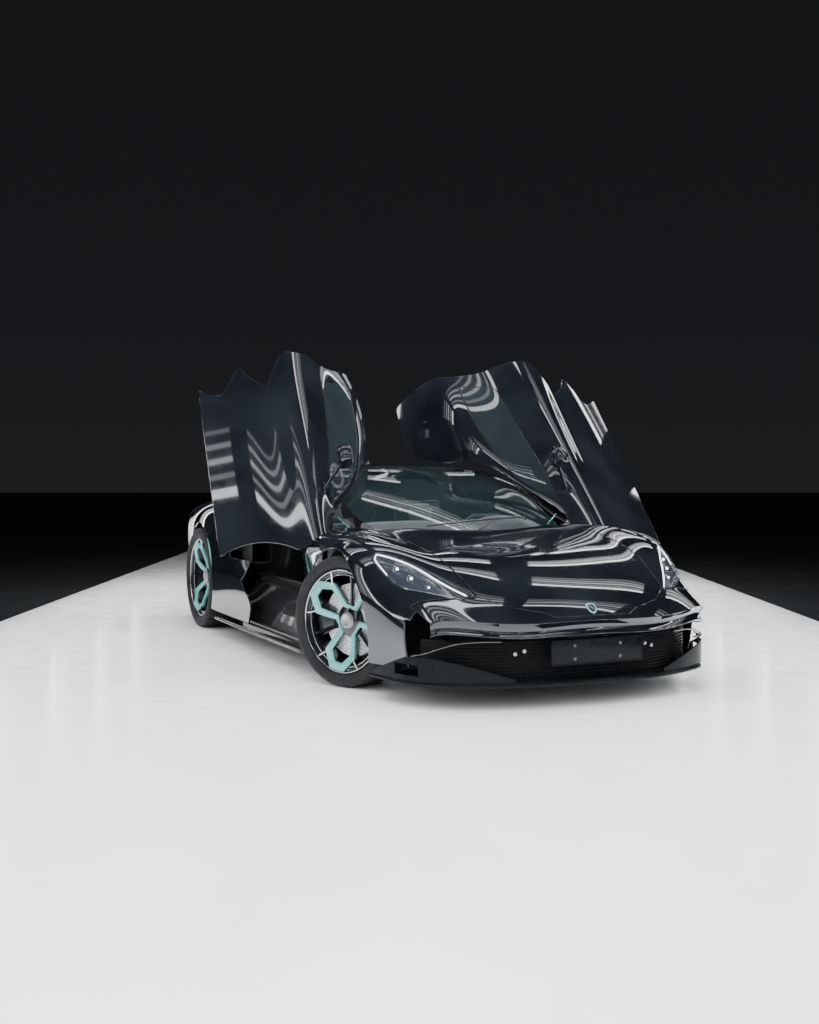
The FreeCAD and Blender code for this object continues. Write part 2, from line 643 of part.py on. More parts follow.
# lip blade of the side nostril, and the fin that stands on the splitter: x, y, top z
NOSTRIL = [(500, -2308, 338), (590, -2270, 337), (682, -2222, 328), (760, -2172, 304), (815, -2125, 278), (858, -2040, 256)]
FIN = [(430, -2318, 150), (520, -2292, 178), (620, -2252, 208), (740, -2184, 238), (815, -2118, 250), (866, -2030, 246),
       (893, -1950, 222), (915, -1850, 188), (932, -1745, 150)]
blade = strip(NOSTRIL, 34.0, lambda z: z - 9.0)
save("nostril_blades", blade, mirrored(blade))
plan = [(x, nose_y(x) - 5.0) for x in (0, 250, 450, 620, 760)] + [(850, -2080), (900, -1950), (940, -1720), (600, -1712), (600, -1600), (0, -1600)]
save("splitter", prism_z(plan + [(-x, y) for x, y in reversed(plan[1:-1])], GROUND, GROUND + 20.0))
fin = strip(FIN, 8.0, lambda z: GROUND + 20.3).cut(box(838, -2090, 156, 930, -1940, 214))
save("splitter_fins", fin, mirrored(fin))
front = [(x, nose_y(x) + 95.0) for x in (0, 250, 450, 600)] + [(700, -2100), (780, -2000)]
back = [(x, y + 10.0) for x, y in reversed(front)]
intake = prism_z(front + back + [(-x, y) for x, y in back[::-1][1:]] + [(-x, y) for x, y in front[::-1][:-1]], GROUND + 21.0, 328.0)
save("front_intake", intake.cut(box(-90, -2400, 250, 90, -2200, 294)))
plate = box(-263, -2375, 211, 263, -2366, 332)
plate = union([plate] + [box(x - 12, -2367, 262, x + 12, -2258, 282) for x in (-60, 60)])
PLATE_BOLT_X, PLATE_BOLT_Z, PLATE_BOLT_R = 260.0, 64.0, 3.5
for x in (-PLATE_BOLT_X / 2, PLATE_BOLT_X / 2):
    for z in (271.5 - PLATE_BOLT_Z / 2, 271.5 + PLATE_BOLT_Z / 2):
        plate = plate.cut(Part.makeCylinder(PLATE_BOLT_R, 30, V(x, -2390, z), V(0, 1, 0)))
save("number_plate", plate)

# ---------------------------------------------------------------- structure
sill = [(560, 126), (880, 126), (895, 150), (872, 260), (800, 395), (740, 430), (620, 430), (560, 390)]
tub_parts = [box(-600, -900, 126, 600, 640, 156), prism_y(sill, -860, 640), prism_y([(-x, z) for x, z in sill], -860, 640),
             box(-500, -1010, 126, 500, -890, 620), box(-480, -1000, 126, 480, -860, 150),
             prism_y([(-740, 126), (740, 126), (790, 480), (740, 860), (600, 1010), (430, 1085), (-430, 1085), (-600, 1010), (-740, 860), (-790, 480)], 612, 640)]
tub_parts.append(prism_x([(-900, 600), (-880, 560), (-800, 560), (-790, 700), (-860, 740), (-900, 700)], -770, 770))
for s in (-1, 1):
    tub_parts.append(box(min(s * 600, s * 770), -880, 400, max(s * 600, s * 770), -800, 600))
tub = union(tub_parts).cut(box(-470, -1000, 165, 470, -700, 590)).removeSplitter()
save("tub", tub)
save("underfloor", prism_z([(-600, -1590), (-540, -1570), (-540, -1000), (-880, -870), (-890, 980), (-560, 1060), (-560, 1840), (-690, 1880),
                            (690, 1880), (560, 1840), (560, 1060), (890, 980), (880, -870), (540, -1000), (540, -1570), (600, -1590)], GROUND, GROUND + 12.0))
skirt = prism_z([(905, -850), (960, -880), (1000, -820), (1004, 900), (985, 1010), (905, 960)], GROUND + 1.0, GROUND + 22.0)
save("side_skirts", skirt, mirrored(skirt))
save("battery", box(-480, 680, 160, 480, 1000, 560))
save("drive_motors", box(-240, -1440, 205, 240, -1160, 440), box(-300, 1290, 205, 300, 1600, 470))
liners = []
for y0, z0, r, s in ((FRONT_AXLE_Y, FRONT_TYRE_R, FRONT_ARCH_R + 10, 1), (REAR_AXLE_Y, REAR_TYRE_R, REAR_ARCH_R + 10, 1)):
    ring = Part.makeCylinder(r + 5, 338, V(560, y0, z0), V(1, 0, 0)).cut(Part.makeCylinder(r, 360, V(555, y0, z0), V(1, 0, 0)))
    ring = ring.cut(box(500, y0 - 600, -200, 1000, y0 + 600, z0 - 110))
    liners += [ring, mirrored(ring)]
save("arch_liners", *liners)

# ---------------------------------------------------------------- tail
tail_plan = [(0, 2375), (350, 2368), (600, 2346), (760, 2318), (806, 2296)]
tail_in = [(x * 0.985, y - 14.0) for x, y in reversed(tail_plan)]
loop = tail_plan + tail_in
save("rear_bumper", prism_z(loop + [(-x, y) for x, y in loop[::-1][1:-1]], 430, 745))
lamp = [(0, 2364), (350, 2358), (600, 2338), (760, 2310), (790, 2298)]
lamp_in = [(x * 0.985, y - 30.0) for x, y in reversed(lamp)]
loop = lamp + lamp_in
save("tail_light", prism_z(loop + [(-x, y) for x, y in loop[::-1][1:-1]], 752, 790))
diff_parts = [prism_x([(1890, 112), (2340, 300), (2340, 316), (1884, 128)], -690, 690)]
for x in (-600, -360, -120, 120, 360, 600):
    diff_parts.append(prism_x([(1960, 118), (2345, 150), (2345, 305), (2300, 292)], x - 5, x + 5))
save("diffuser", union(diff_parts))
wing = prism_x([(2262, 858), (2300, 872), (2360, 884), (2366, 892), (2290, 900), (2262, 890)], -620, 620)
stays = [prism_x([(2268, 760), (2316, 760), (2316, 875), (2268, 862)], x - 8, x + 8) for x in (-380, 380)]
save("rear_wing", union([wing] + stays))

# ---------------------------------------------------------------- cabin
seat_side = [(-190, 190), (-180, 330), (-120, 345), (180, 270), (240, 300), (430, 860), (500, 960), (560, 950), (590, 800), (420, 330), (400, 190)]
seat = prism_x(seat_side, 130, 545)
save("seats", seat, mirrored(seat))
dash = prism_x([(-1000, 748), (-985, 776), (-900, 802), (-760, 840), (-700, 850), (-640, 845), (-620, 780), (-660, 640), (-780, 620), (-786, 748)], -560, 560)
save("dashboard", dash)
save("centre_console", prism_x([(-650, 160), (-650, 600), (-560, 600), (-300, 420), (150, 380), (180, 160)], -95, 95))
sw = Part.makeTorus(165, 15, V(0, 0, 0), V(0, 0, 1)).fuse([bar((-155, 0, 0), (155, 0, 0), 12), Part.makeCylinder(45, 30, V(0, 0, -20)), bar((0, 0, -15), (0, 0, -240), 22)])
sw.rotate(V(0, 0, 0), V(1, 0, 0), -66)
sw.translate(V(365, -455, 735))
sw = sw.cut(dash)
save("steering_wheel", max(sw.Solids, key=lambda m: m.Volume))


# ---------------------------------------------------------------- wheels, about the wheel centre, outboard is +X
def wheel(rim_r, tyre_r, half_w, turn):
    face = half_w - 18.0
    f, i = rim_r, rim_r - 22.0
    barrel = turned([(face, f), (face - 12, f), (face - 16, i), (-face, i), (-face - 4, f - 4), (-face - 16, f - 4),
                     (-face - 16, f - 14), (-face - 8, i - 8), (face - 22, i - 8), (face - 14, f - 12), (face, f - 12)])
    hub = Part.makeCylinder(62, 96, V(-8, 0, 0), V(1, 0, 0))
    disc = Part.makeCylinder(DISC_R, DISC_THICK, V(0, 0, 0), V(1, 0, 0))
    lobes = []
    for k in range(3):
        c = math.radians(turn + 120 * k)

        def at(deg, share):
            return V(face - 60, rim_r * share * math.cos(c + math.radians(deg)), rim_r * share * math.sin(c + math.radians(deg)))
        outer = [at(-34, .20), at(-30, .66), at(-27, .72), at(-9, .895), at(9, .895), at(27, .72), at(30, .66), at(34, .20)]
        inner = [at(-16, .38), at(-20, .64), at(-6, .80), at(6, .80), at(20, .64), at(16, .38)]
        solid = Part.Face(Part.makePolygon(outer + [outer[0]])).extrude(V(40, 0, 0))
        window = Part.Face(Part.makePolygon(inner + [inner[0]])).extrude(V(40, 0, 0))
        lobes.append(solid.cut(window))
    body = barrel
    for piece in [hub, disc] + lobes:
        body = body.fuse(piece)
    body = body.cut(Part.makeCylinder(30.6, 70, V(-9, 0, 0), V(1, 0, 0))).removeSplitter()
    t = half_w
    tyre = turned([(face - 17, f - 21.4), (face - 14, f - 2), (face - 10, f + 2), (t - 12, f + 14), (t, f + 30), (t, tyre_r - 28), (t - 14, tyre_r - 6),
                   (t - 44, tyre_r), (-t + 44, tyre_r), (-t + 14, tyre_r - 6), (-t, tyre_r - 28), (-t, f + 30), (-t + 12, f + 14),
                   (-face + 1, f + 1), (-face + 1, f - 21.4)])
    return body, tyre


def brake(angle):
    """Caliper over the disc, centred at the angle from +Y towards +Z."""
    def ring(x0, x1, r0, r1, span):
        p = []
        for k in range(9):
            a = math.radians(angle - span + 2 * span * k / 8)
            p.append(V(x0, r1 * math.cos(a), r1 * math.sin(a)))
        for k in range(8, -1, -1):
            a = math.radians(angle - span + 2 * span * k / 8)
            p.append(V(x0, r0 * math.cos(a), r0 * math.sin(a)))
        return Part.Face(Part.makePolygon(p + [p[0]])).extrude(V(x1 - x0, 0, 0))
    c = ring(-26, 56, 118, 228, 26).cut(ring(-4, DISC_THICK + 4, 100, 200, 32))
    return c


def upright(kx, caliper_angle):
    """Knuckle with spindle and caliper; kx is the kingpin's x."""
    plate = prism_x([(-48, -60), (-30, -143), (30, -143), (48, -60), (60, 0), (48, 60), (30, 143), (-30, 143), (-48, 60), (-60, 0)], kx - 18, kx + 15)
    spindle = Part.makeCylinder(30, 78, V(kx, 0, 0), V(1, 0, 0))
    a = math.radians(caliper_angle)
    arm = bar((kx, 40 * math.cos(a), 40 * math.sin(a)), (kx, 150 * math.cos(a), 150 * math.sin(a)), 15)
    arm2 = box(-30, -18, -18, -18, 18, 18)
    c = brake(caliper_angle)
    foot = bar((kx + 2, 150 * math.cos(a), 150 * math.sin(a)), (-15, 150 * math.cos(a), 150 * math.sin(a)), 15)
    return union([plate, spindle, arm, foot, c])


front_rim, front_tyre = wheel(FRONT_RIM_R, FRONT_TYRE_R, FRONT_TYRE_HALF, 0.0)
rear_rim, rear_tyre = wheel(REAR_RIM_R, REAR_TYRE_R, REAR_TYRE_HALF, 0.0)
KNUCKLE = upright(-KINGPIN_IN, 0.0)
REAR_UPRIGHT = upright(-KINGPIN_IN, 180.0)
steer = math.radians(STEER_DEG)


def place_front(s, side):
    """Put a wheel-frame shape at the front, turned about the kingpin."""
    t = s.copy() if side > 0 else mirrored(s)
    t.translate(V(side * KINGPIN_IN, 0, 0))
    t.rotate(V(0, 0, 0), V(0, 0, 1), STEER_DEG)
    t.translate(V(side * (FRONT_TRACK_HALF - KINGPIN_IN), FRONT_AXLE_Y, FRONT_TYRE_R))
    return t


def place_rear(s, side):
    t = s.copy() if side > 0 else mirrored(s)
    t.translate(V(side * REAR_TRACK_HALF, REAR_AXLE_Y, REAR_TYRE_R))
    return t


for side, word in ((1, "left"), (-1, "right")):
    save("knuckle_" + word, place_front(KNUCKLE, side))
    save("rim_front_" + word, place_front(front_rim, side))
    save("tyre_front_" + word, place_front(front_tyre, side))
    save("rim_rear_" + word, place_rear(rear_rim, side))
    save("tyre_rear_" + word, place_rear(rear_tyre, side))

# ---------------------------------------------------------------- suspension
def arms(y0, z0, kx, half_y, low, high):
    """Subframe with two wishbones a side that end under and over the upright."""
    p = [box(-340, y0 - half_y, 150, 340, y0 + half_y, 200), box(-340, y0 - 40, 150, -300, y0 + 40, z0 + high + 14),
         box(300, y0 - 40, 150, 340, y0 + 40, z0 + high + 14)]
    for s in (-1, 1):
        for h in (low, high):
            for d in (-1, 1):
                foot = (s * 320, y0 + d * (half_y - 25 if h == low else 25), z0 + h)
                p.append(bar(foot, (s * kx, y0, z0 + h), 12))
            p.append(Part.makeCylinder(19, 28, V(s * kx, y0, z0 + h - 14)))
    return p


front_arms = arms(FRONT_AXLE_Y, FRONT_TYRE_R, FRONT_TRACK_HALF - KINGPIN_IN, 150, -159, 159)
save("front_suspension", union(front_arms))
rear_arms = arms(REAR_AXLE_Y, REAR_TYRE_R, REAR_TRACK_HALF - KINGPIN_IN, 150, -150, 150)
save("rear_suspension", union(rear_arms + [place_rear(REAR_UPRIGHT, 1), place_rear(REAR_UPRIGHT, -1)]))
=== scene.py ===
import math
import bpy
import numpy as np
from mathutils import Matrix, Vector


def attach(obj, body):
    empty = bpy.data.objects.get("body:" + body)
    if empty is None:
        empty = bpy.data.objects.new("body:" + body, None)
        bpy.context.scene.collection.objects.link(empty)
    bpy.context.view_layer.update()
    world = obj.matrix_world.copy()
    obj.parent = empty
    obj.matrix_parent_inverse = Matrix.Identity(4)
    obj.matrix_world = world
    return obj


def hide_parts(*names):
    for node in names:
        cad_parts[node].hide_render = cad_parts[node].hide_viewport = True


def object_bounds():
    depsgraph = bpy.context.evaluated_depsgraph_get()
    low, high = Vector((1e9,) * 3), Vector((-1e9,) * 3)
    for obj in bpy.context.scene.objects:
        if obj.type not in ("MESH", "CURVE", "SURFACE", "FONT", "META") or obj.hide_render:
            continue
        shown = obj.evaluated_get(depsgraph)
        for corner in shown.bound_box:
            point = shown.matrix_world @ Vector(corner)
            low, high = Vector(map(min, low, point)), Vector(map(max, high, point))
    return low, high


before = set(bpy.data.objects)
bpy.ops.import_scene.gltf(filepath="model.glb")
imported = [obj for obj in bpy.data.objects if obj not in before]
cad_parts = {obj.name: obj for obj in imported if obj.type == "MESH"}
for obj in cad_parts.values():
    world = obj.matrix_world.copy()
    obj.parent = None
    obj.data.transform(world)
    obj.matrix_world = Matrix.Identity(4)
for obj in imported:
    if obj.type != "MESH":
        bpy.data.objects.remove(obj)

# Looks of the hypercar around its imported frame. Tables and nets are the body surface in
# millimetres, as in the construction; pieces are made in metres.
CAD_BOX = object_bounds()
MM = 0.001

# ---------------------------------------------------------------- driving sizes
LENGTH = 4750.0            # nose plate to tail
WIDTH = 1992.0             # over the fenders, without mirrors
HEIGHT = 1208.0
FRONT_AXLE_Y = -1300.0
REAR_AXLE_Y = 1445.0       # wheelbase 2745
FRONT_TRACK_HALF = 847.0
REAR_TRACK_HALF = 843.0
FRONT_TYRE_R = 350.0
REAR_TYRE_R = 364.0
FRONT_TYRE_HALF = 137.0
REAR_TYRE_HALF = 147.0
FRONT_RIM_R = 276.0
REAR_RIM_R = 283.0
DISC_R = 195.0
DISC_THICK = 32.0
KINGPIN_IN = 30.0          # kingpin inboard of the wheel's mid-plane
STEER_DEG = 25.1           # front wheels turned to the car's left at rest
FRONT_ARCH_R = 388.0
REAR_ARCH_R = 404.0
GROUND = 112.0             # lowest point of the flat floor
PANEL = 14.0               # thickness of an outer skin
DOOR_THICK = 58.0          # thickness of the door below its glass
FRAME_THICK = 30.0         # thickness of the window frame and roof flap
GLASS = 6.0
GAP = 9.0                  # shut line between two panels
PILLAR = 54.0
DOOR_OPEN_DEG = 89.4
HINGE_POINT = (805.0, -795.0, 797.0)          # left door, at the foot of the pillar
HINGE_AXIS = (0.535, -0.769, -0.350)          # left door, closed to open is positive

BOW_POWER = 2.6            # the nose is flat in the middle and sweeps back at its corners
# ---------------------------------------------------------------- body surface
# One row per station. The net is a smooth surface's control net, half body.
# FRONT: y, bow (how far the station sweeps back at x 850), centre z,
#        ridge x z, valley x z, crest x z, shoulder x z, upper x z, waist x z, crease x z, sill x z
FRONT = [
    (-2370, 250, 424, 354, 411, 535, 420, 658, 435, 779, 441, 819, 412, 837, 360, 836, 290, 800, 185),
    (-2300, 250, 511, 367, 498, 548, 488, 672, 478, 792, 474, 834, 442, 847, 376, 846, 290, 815, 180),
    (-2160, 235, 593, 384, 585, 565, 572, 693, 570, 815, 545, 875, 500, 884, 404, 878, 295, 845, 176),
    (-1960, 190, 671, 405, 674, 586, 674, 745, 715, 886, 670, 954, 584, 941, 439, 926, 300, 888, 172),
    (-1760, 130, 720, 425, 728, 602, 727, 788, 779, 938, 734, 990, 641, 978, 478, 965, 310, 928, 170),
    (-1560, 70, 758, 446, 764, 616, 757, 808, 804, 950, 755, 990, 679, 991, 544, 986, 330, 956, 168),
    (-1360, 15, 792, 465, 796, 630, 785, 820, 832, 955, 780, 987, 705, 994, 590, 993, 350, 965, 166),
    (-1160, 0, 820, 485, 822, 645, 806, 828, 835, 956, 776, 989, 700, 993, 590, 992, 370, 965, 164),
    (-960, 0, 838, 500, 838, 655, 818, 842, 818, 954, 760, 988, 692, 988, 580, 990, 400, 965, 162),
    (-700, 0, 850, 510, 848, 660, 828, 872, 812, 952, 752, 985, 690, 970, 572, 990, 425, 968, 162),
]
# SIDE: y, crest x z, shoulder x z, upper x z, waist x z, crease x z, sill x z
SIDE = [
    (-1360, 820, 832, 955, 780, 987, 705, 994, 590, 993, 350, 965, 166),
    (-1160, 828, 835, 956, 776, 989, 700, 993, 590, 992, 370, 965, 164),
    (-960, 842, 818, 954, 760, 988, 692, 988, 580, 990, 400, 965, 162),
    (-700, 872, 812, 952, 752, 985, 690, 970, 572, 990, 425, 968, 162),
    (-400, 888, 826, 953, 763, 985, 691, 955, 568, 992, 438, 970, 162),
    (-100, 882, 848, 950, 770, 988, 692, 948, 568, 994, 445, 972, 162),
    (200, 862, 876, 945, 785, 993, 695, 962, 572, 995, 450, 974, 163),
    (450, 842, 898, 940, 815, 996, 710, 978, 580, 996, 455, 976, 164),
    (700, 830, 924, 935, 860, 990, 762, 986, 615, 995, 460, 980, 165),
    (1000, 830, 950, 935, 896, 985, 808, 992, 660, 995, 480, 985, 168),
    (1250, 830, 956, 938, 906, 986, 820, 994, 680, 994, 480, 985, 180),
    (1445, 826, 948, 932, 896, 980, 814, 988, 680, 988, 480, 980, 190),
    (1700, 812, 926, 905, 872, 948, 796, 960, 676, 962, 480, 950, 210),
    (1950, 788, 898, 868, 846, 908, 782, 920, 672, 920, 480, 900, 240),
    (2150, 768, 880, 838, 832, 876, 772, 888, 672, 884, 480, 855, 270),
    (2330, 745, 868, 806, 822, 840, 768, 850, 672, 846, 480, 818, 290),
]
# CANOPY: y, centre z, mid x z, rail x z, glass x z, belt x z
CANOPY = [
    (-1360, 765, 330, 722, 600, 640, 700, 690, 770, 790),
    (-1160, 838, 330, 808, 615, 735, 730, 745, 795, 808),
    (-960, 912, 340, 888, 650, 815, 760, 792, 816, 818),
    (-700, 1005, 350, 988, 700, 922, 782, 870, 850, 830),
    (-400, 1100, 345, 1088, 672, 1068, 744, 1012, 856, 864),
    (-100, 1176, 330, 1168, 610, 1170, 690, 1082, 838, 894),
    (200, 1206, 320, 1200, 592, 1194, 670, 1100, 804, 920),
    (450, 1207, 300, 1198, 560, 1168, 648, 1086, 772, 926),
    (700, 1190, 255, 1178, 488, 1120, 604, 1052, 752, 940),
    (1000, 1146, 212, 1136, 404, 1090, 552, 1024, 734, 954),
    (1250, 1098, 182, 1090, 352, 1056, 512, 1000, 718, 954),
    (1445, 1058, 166, 1052, 322, 1028, 484, 982, 708, 946),
    (1700, 1008, 156, 1004, 302, 990, 462, 958, 694, 928),
    (1950, 962, 150, 960, 292, 952, 448, 932, 682, 904),
    (2150, 928, 148, 926, 286, 920, 440, 908, 670, 888),
    (2330, 902, 145, 900, 280, 896, 434, 888, 652, 876),
]
# Shut line of the door: column number on the body net, front edge y, rear edge y
DOOR_EDGE = [
    (0.42, 300, 420), (0.50, 150, 590), (0.75, 80, 606), (1.0, -5, 606), (1.6, -112, 600), (2.0, -190, 585),
    (2.5, -362, 545), (3.0, -530, 512), (3.5, -640, 490), (4.0, -725, 478), (4.5, -790, 474), (5.0, -832, 470),
    (6.0, -892, 460), (7.0, -950, 448), (7.8, -1000, 255), (8.0, -998, 205), (8.8, -940, 288), (9.0, -930, 352),
    (9.6, -930, 165), (10.0, -960, 226),
]
# Side glass in the door: column number, front edge y, rear edge y
GLASS_EDGE = [(2.80, -345, 405), (3.00, -450, 404), (3.50, -560, 370), (4.00, -632, 338), (4.20, -655, 326)]
GLASS_TOP, GLASS_LOW = 2.80, 4.20
# Outline of the left headlight: row number, column number on the front net
LAMP = [
    (1.62, 2.11), (1.87, 2.33), (2.30, 2.69), (2.77, 2.98), (3.21, 3.28), (3.50, 3.46), (3.80, 3.66), (3.71, 3.87),
    (3.51, 4.01), (3.12, 4.12), (2.79, 4.20), (2.51, 4.25), (2.24, 4.12), (2.05, 3.84), (1.72, 3.10), (1.56, 2.68),
    (1.49, 2.39),
]
# Front edge of the bonnet: column number, row number
BONNET_EDGE = [(0.0, 0.28), (0.62, 0.28), (0.75, 0.55), (1.40, 1.02), (1.97, 1.62)]
COWL_Y0, COWL_SWEEP = -1232.0, 455.0          # rear edge of the bonnet, at x 0 and how far back at x 800



# ---------------------------------------------------------------- surface
def weights(t):
    return np.stack([(1 - t) ** 3 / 6, (3 * t ** 3 - 6 * t * t + 4) / 6, (-3 * t ** 3 + 3 * t * t + 3 * t + 1) / 6, t ** 3 / 6], 1)


def slopes(t):
    return np.stack([-(1 - t) ** 2 / 2, (3 * t * t - 4 * t) / 2, (-3 * t * t + 2 * t + 1) / 2, t * t / 2], 1)


class Net:
    """Uniform cubic surface over a grid of control points, symmetric about x = 0 at column 0."""

    def __init__(self, rows):
        g = np.array(rows, float)
        first = g[:, 1:2].copy()
        first[..., 0] *= -1
        g = np.concatenate([first, g, 2 * g[:, -1:] - g[:, -2:-1]], 1)
        self.g = np.concatenate([2 * g[:1] - g[1:2], g, 2 * g[-1:] - g[-2:-1]], 0)
        self.nu, self.nv = len(rows) - 1, len(rows[0]) - 1

    def parts(self, u, v):
        u = np.clip(np.asarray(u, float), 0, self.nu - 1e-9)
        v = np.clip(np.asarray(v, float), 0, self.nv - 1e-9)
        i, j = u.astype(int), v.astype(int)
        k = np.arange(4)
        block = self.g[i[:, None, None] + k[None, :, None], j[:, None, None] + k[None, None, :]]
        return u - i, v - j, block

    def at(self, u, v):
        s, t, block = self.parts(u, v)
        return np.einsum("na,nb,nabc->nc", weights(s), weights(t), block)

    def normal(self, u, v):
        s, t, block = self.parts(u, v)
        du = np.einsum("na,nb,nabc->nc", slopes(s), weights(t), block)
        dv = np.einsum("na,nb,nabc->nc", weights(s), slopes(t), block)
        return unit(np.cross(dv, du))

    def row_of(self, y, v=0.0):
        lo, hi = 0.0, float(self.nu)
        for _ in range(30):
            m = (lo + hi) / 2
            lo, hi = (m, hi) if self.at([m], [v])[0, 1] < y else (lo, m)
        return lo


def unit(a):
    return a / np.maximum(np.linalg.norm(a, axis=-1, keepdims=True), 1e-12)


def front_rows():
    rows = []
    for r in FRONT:
        pts = [(0.0, r[0], r[2])]
        for k in range(3, len(r), 2):
            pts.append((r[k], r[0] + r[1] * (r[k] / 850.0) ** BOW_POWER, r[k + 1]))
        rows.append(pts)
    return rows


def cabin_rows():
    rows = []
    for c, s in zip(CANOPY, SIDE):
        pts = [(0.0, c[0], c[1])]
        pts += [(c[k], c[0], c[k + 1]) for k in range(2, len(c), 2)]
        pts += [(s[k], c[0], s[k + 1]) for k in range(1, len(s), 2)]
        rows.append(pts)
    return rows


def nose_y(x):
    return FRONT[0][0] + FRONT[0][1] * (np.abs(x) / 850.0) ** BOW_POWER


def nose_rows():
    first = [(0.0, FRONT[0][0], FRONT[0][2])] + [(FRONT[0][k], nose_y(FRONT[0][k]), FRONT[0][k + 1]) for k in range(3, 15, 2)]
    return [[(x * (1 - dy / 1600.0), y + dy, z - dz) for x, y, z in first]
            for dy, dz in ((0, 0), (16, 20), (24, 42), (10, 62), (2, 72), (34, 80), (66, 82))]


FRONT_NET, CABIN_NET, NOSE_NET = Net(front_rows()), Net(cabin_rows()), Net(nose_rows())


def curve(table, col):
    """Smooth monotone line through a table's column, as a function of its first column."""
    xs = np.array([r[0] for r in table], float)
    ys = np.array([r[col] for r in table], float)
    h = np.diff(xs)
    d = np.diff(ys) / h
    m = np.zeros(len(xs))
    m[0], m[-1] = d[0], d[-1]
    for i in range(1, len(xs) - 1):
        if d[i - 1] * d[i] > 0:
            w1, w2 = 2 * h[i] + h[i - 1], h[i] + 2 * h[i - 1]
            m[i] = (w1 + w2) / (w1 / d[i - 1] + w2 / d[i])

    def f(v):
        v = np.clip(np.asarray(v, float), xs[0], xs[-1])
        k = np.clip(np.searchsorted(xs, v, "right") - 1, 0, len(h) - 1)
        t = (v - xs[k]) / h[k]
        return ((1 + 2 * t) * (1 - t) ** 2 * ys[k] + t * (1 - t) ** 2 * h[k] * m[k]
                + t * t * (3 - 2 * t) * ys[k + 1] + t * t * (t - 1) * h[k] * m[k + 1])
    return f


door_front, door_rear = curve(DOOR_EDGE, 1), curve(DOOR_EDGE, 2)
glass_front, glass_rear = curve(GLASS_EDGE, 1), curve(GLASS_EDGE, 2)


def bonnet_front(v):
    t = np.array(BONNET_EDGE)
    return np.interp(v, t[:, 0], t[:, 1])


def smooth_loop(points, sharp=(0,), steps=5):
    """Closed Catmull-Rom outline; the listed points stay corners."""
    p = np.array(points, float)
    n, out = len(p), []
    for i in range(n):
        a, b, c, d = p[i - 1], p[i], p[(i + 1) % n], p[(i + 2) % n]
        if i in sharp:
            a = 2 * b - c
        if (i + 1) % n in sharp:
            d = 2 * c - b
        for k in range(steps):
            t = k / steps
            out.append(0.5 * (2 * b + (c - a) * t + (2 * a - 5 * b + 4 * c - d) * t * t + (3 * b - a - 3 * c + d) * t ** 3))
    return np.array(out)


LAMP_LOOP = smooth_loop(LAMP) * (200.0, 130.0)


def in_lamp(q):
    """Distance in mm inside the headlight's outline, negative outside."""
    a, b = q[:, 3] * 200.0, q[:, 4] * 130.0
    best, inside = np.full(len(q), 1e9), np.zeros(len(q), bool)
    for (x0, y0), (x1, y1) in zip(np.roll(LAMP_LOOP, 1, 0), LAMP_LOOP):
        dx, dy = x1 - x0, y1 - y0
        t = np.clip(((a - x0) * dx + (b - y0) * dy) / (dx * dx + dy * dy + 1e-12), 0, 1)
        best = np.minimum(best, np.hypot(a - x0 - t * dx, b - y0 - t * dy))
        if y0 != y1:
            hit = ((y0 > b) != (y1 > b)) & (a < x0 + (b - y0) * dx / dy)
            inside ^= hit
    return np.where(inside, best, -best)


def arch(y0, z0, r):
    return lambda q: np.where(np.abs(q[:, 0]) > 600, np.hypot(q[:, 1] - y0, q[:, 2] - z0) - r, 500.0)


front_arch = arch(FRONT_AXLE_Y, FRONT_TYRE_R, FRONT_ARCH_R)
rear_arch = arch(REAR_AXLE_Y, REAR_TYRE_R, REAR_ARCH_R)


def cowl(q):
    return q[:, 1] - (COWL_Y0 + COWL_SWEEP * (q[:, 0] / 800.0) ** 2)


def roof_front(q):
    return -40.0 - q[:, 1] - 60.0 * (q[:, 0] / 600.0) ** 2


# ---------------------------------------------------------------- open skins: rows of x, y, z, u, v, side
def place(q, net):
    """Puts every point back on its net, which is also how a cut edge gets exact."""
    q = q.copy()
    if net == "nose":
        top = q[:, 3] >= 0
        q[top, :3] = FRONT_NET.at(q[top, 3], q[top, 4])
        q[~top, :3] = NOSE_NET.at(-q[~top, 3], q[~top, 4])
    else:
        q[:, :3] = net.at(q[:, 3], q[:, 4])
    q[:, 0] *= q[:, 5]
    return q


def normals(q, net):
    if net == "nose":
        n = np.zeros((len(q), 3))
        top = q[:, 3] >= 0
        n[top] = FRONT_NET.normal(q[top, 3], q[top, 4])
        n[~top] = -NOSE_NET.normal(-q[~top, 3], q[~top, 4])
        edge = np.abs(q[:, 3]) < 1e-6
        n[edge] = unit(n[edge] * 0.5 - NOSE_NET.normal(np.zeros(edge.sum()), q[edge, 4]) * 0.5)
    else:
        n = net.normal(q[:, 3], q[:, 4])
    n[:, 0] *= q[:, 5]
    return n


def grid(net, us, vs, both=False):
    us, vs = np.asarray(us, float), np.asarray(vs, float)
    if both:
        vs = np.concatenate([-vs[:0:-1], vs])
    u, v = np.meshgrid(us, vs, indexing="ij")
    u, v = u.ravel(), v.ravel()
    q = np.zeros((len(u), 6))
    q[:, 3], q[:, 4], q[:, 5] = u, np.abs(v), np.where(v < 0, -1.0, 1.0)
    q = place(q, net)
    n = len(vs)
    i, j = np.meshgrid(np.arange(len(us) - 1), np.arange(n - 1), indexing="ij")
    a = (i * n + j).ravel()
    b = a + n
    flip = (i + j).ravel() % 2 == 0
    t = np.concatenate([np.stack([a, b + 1, b], 1)[flip], np.stack([a, a + 1, b + 1], 1)[flip],
                        np.stack([a, a + 1, b], 1)[~flip], np.stack([a + 1, b + 1, b], 1)[~flip]])
    if net == "nose":
        t = t[:, ::-1]
    return q, t


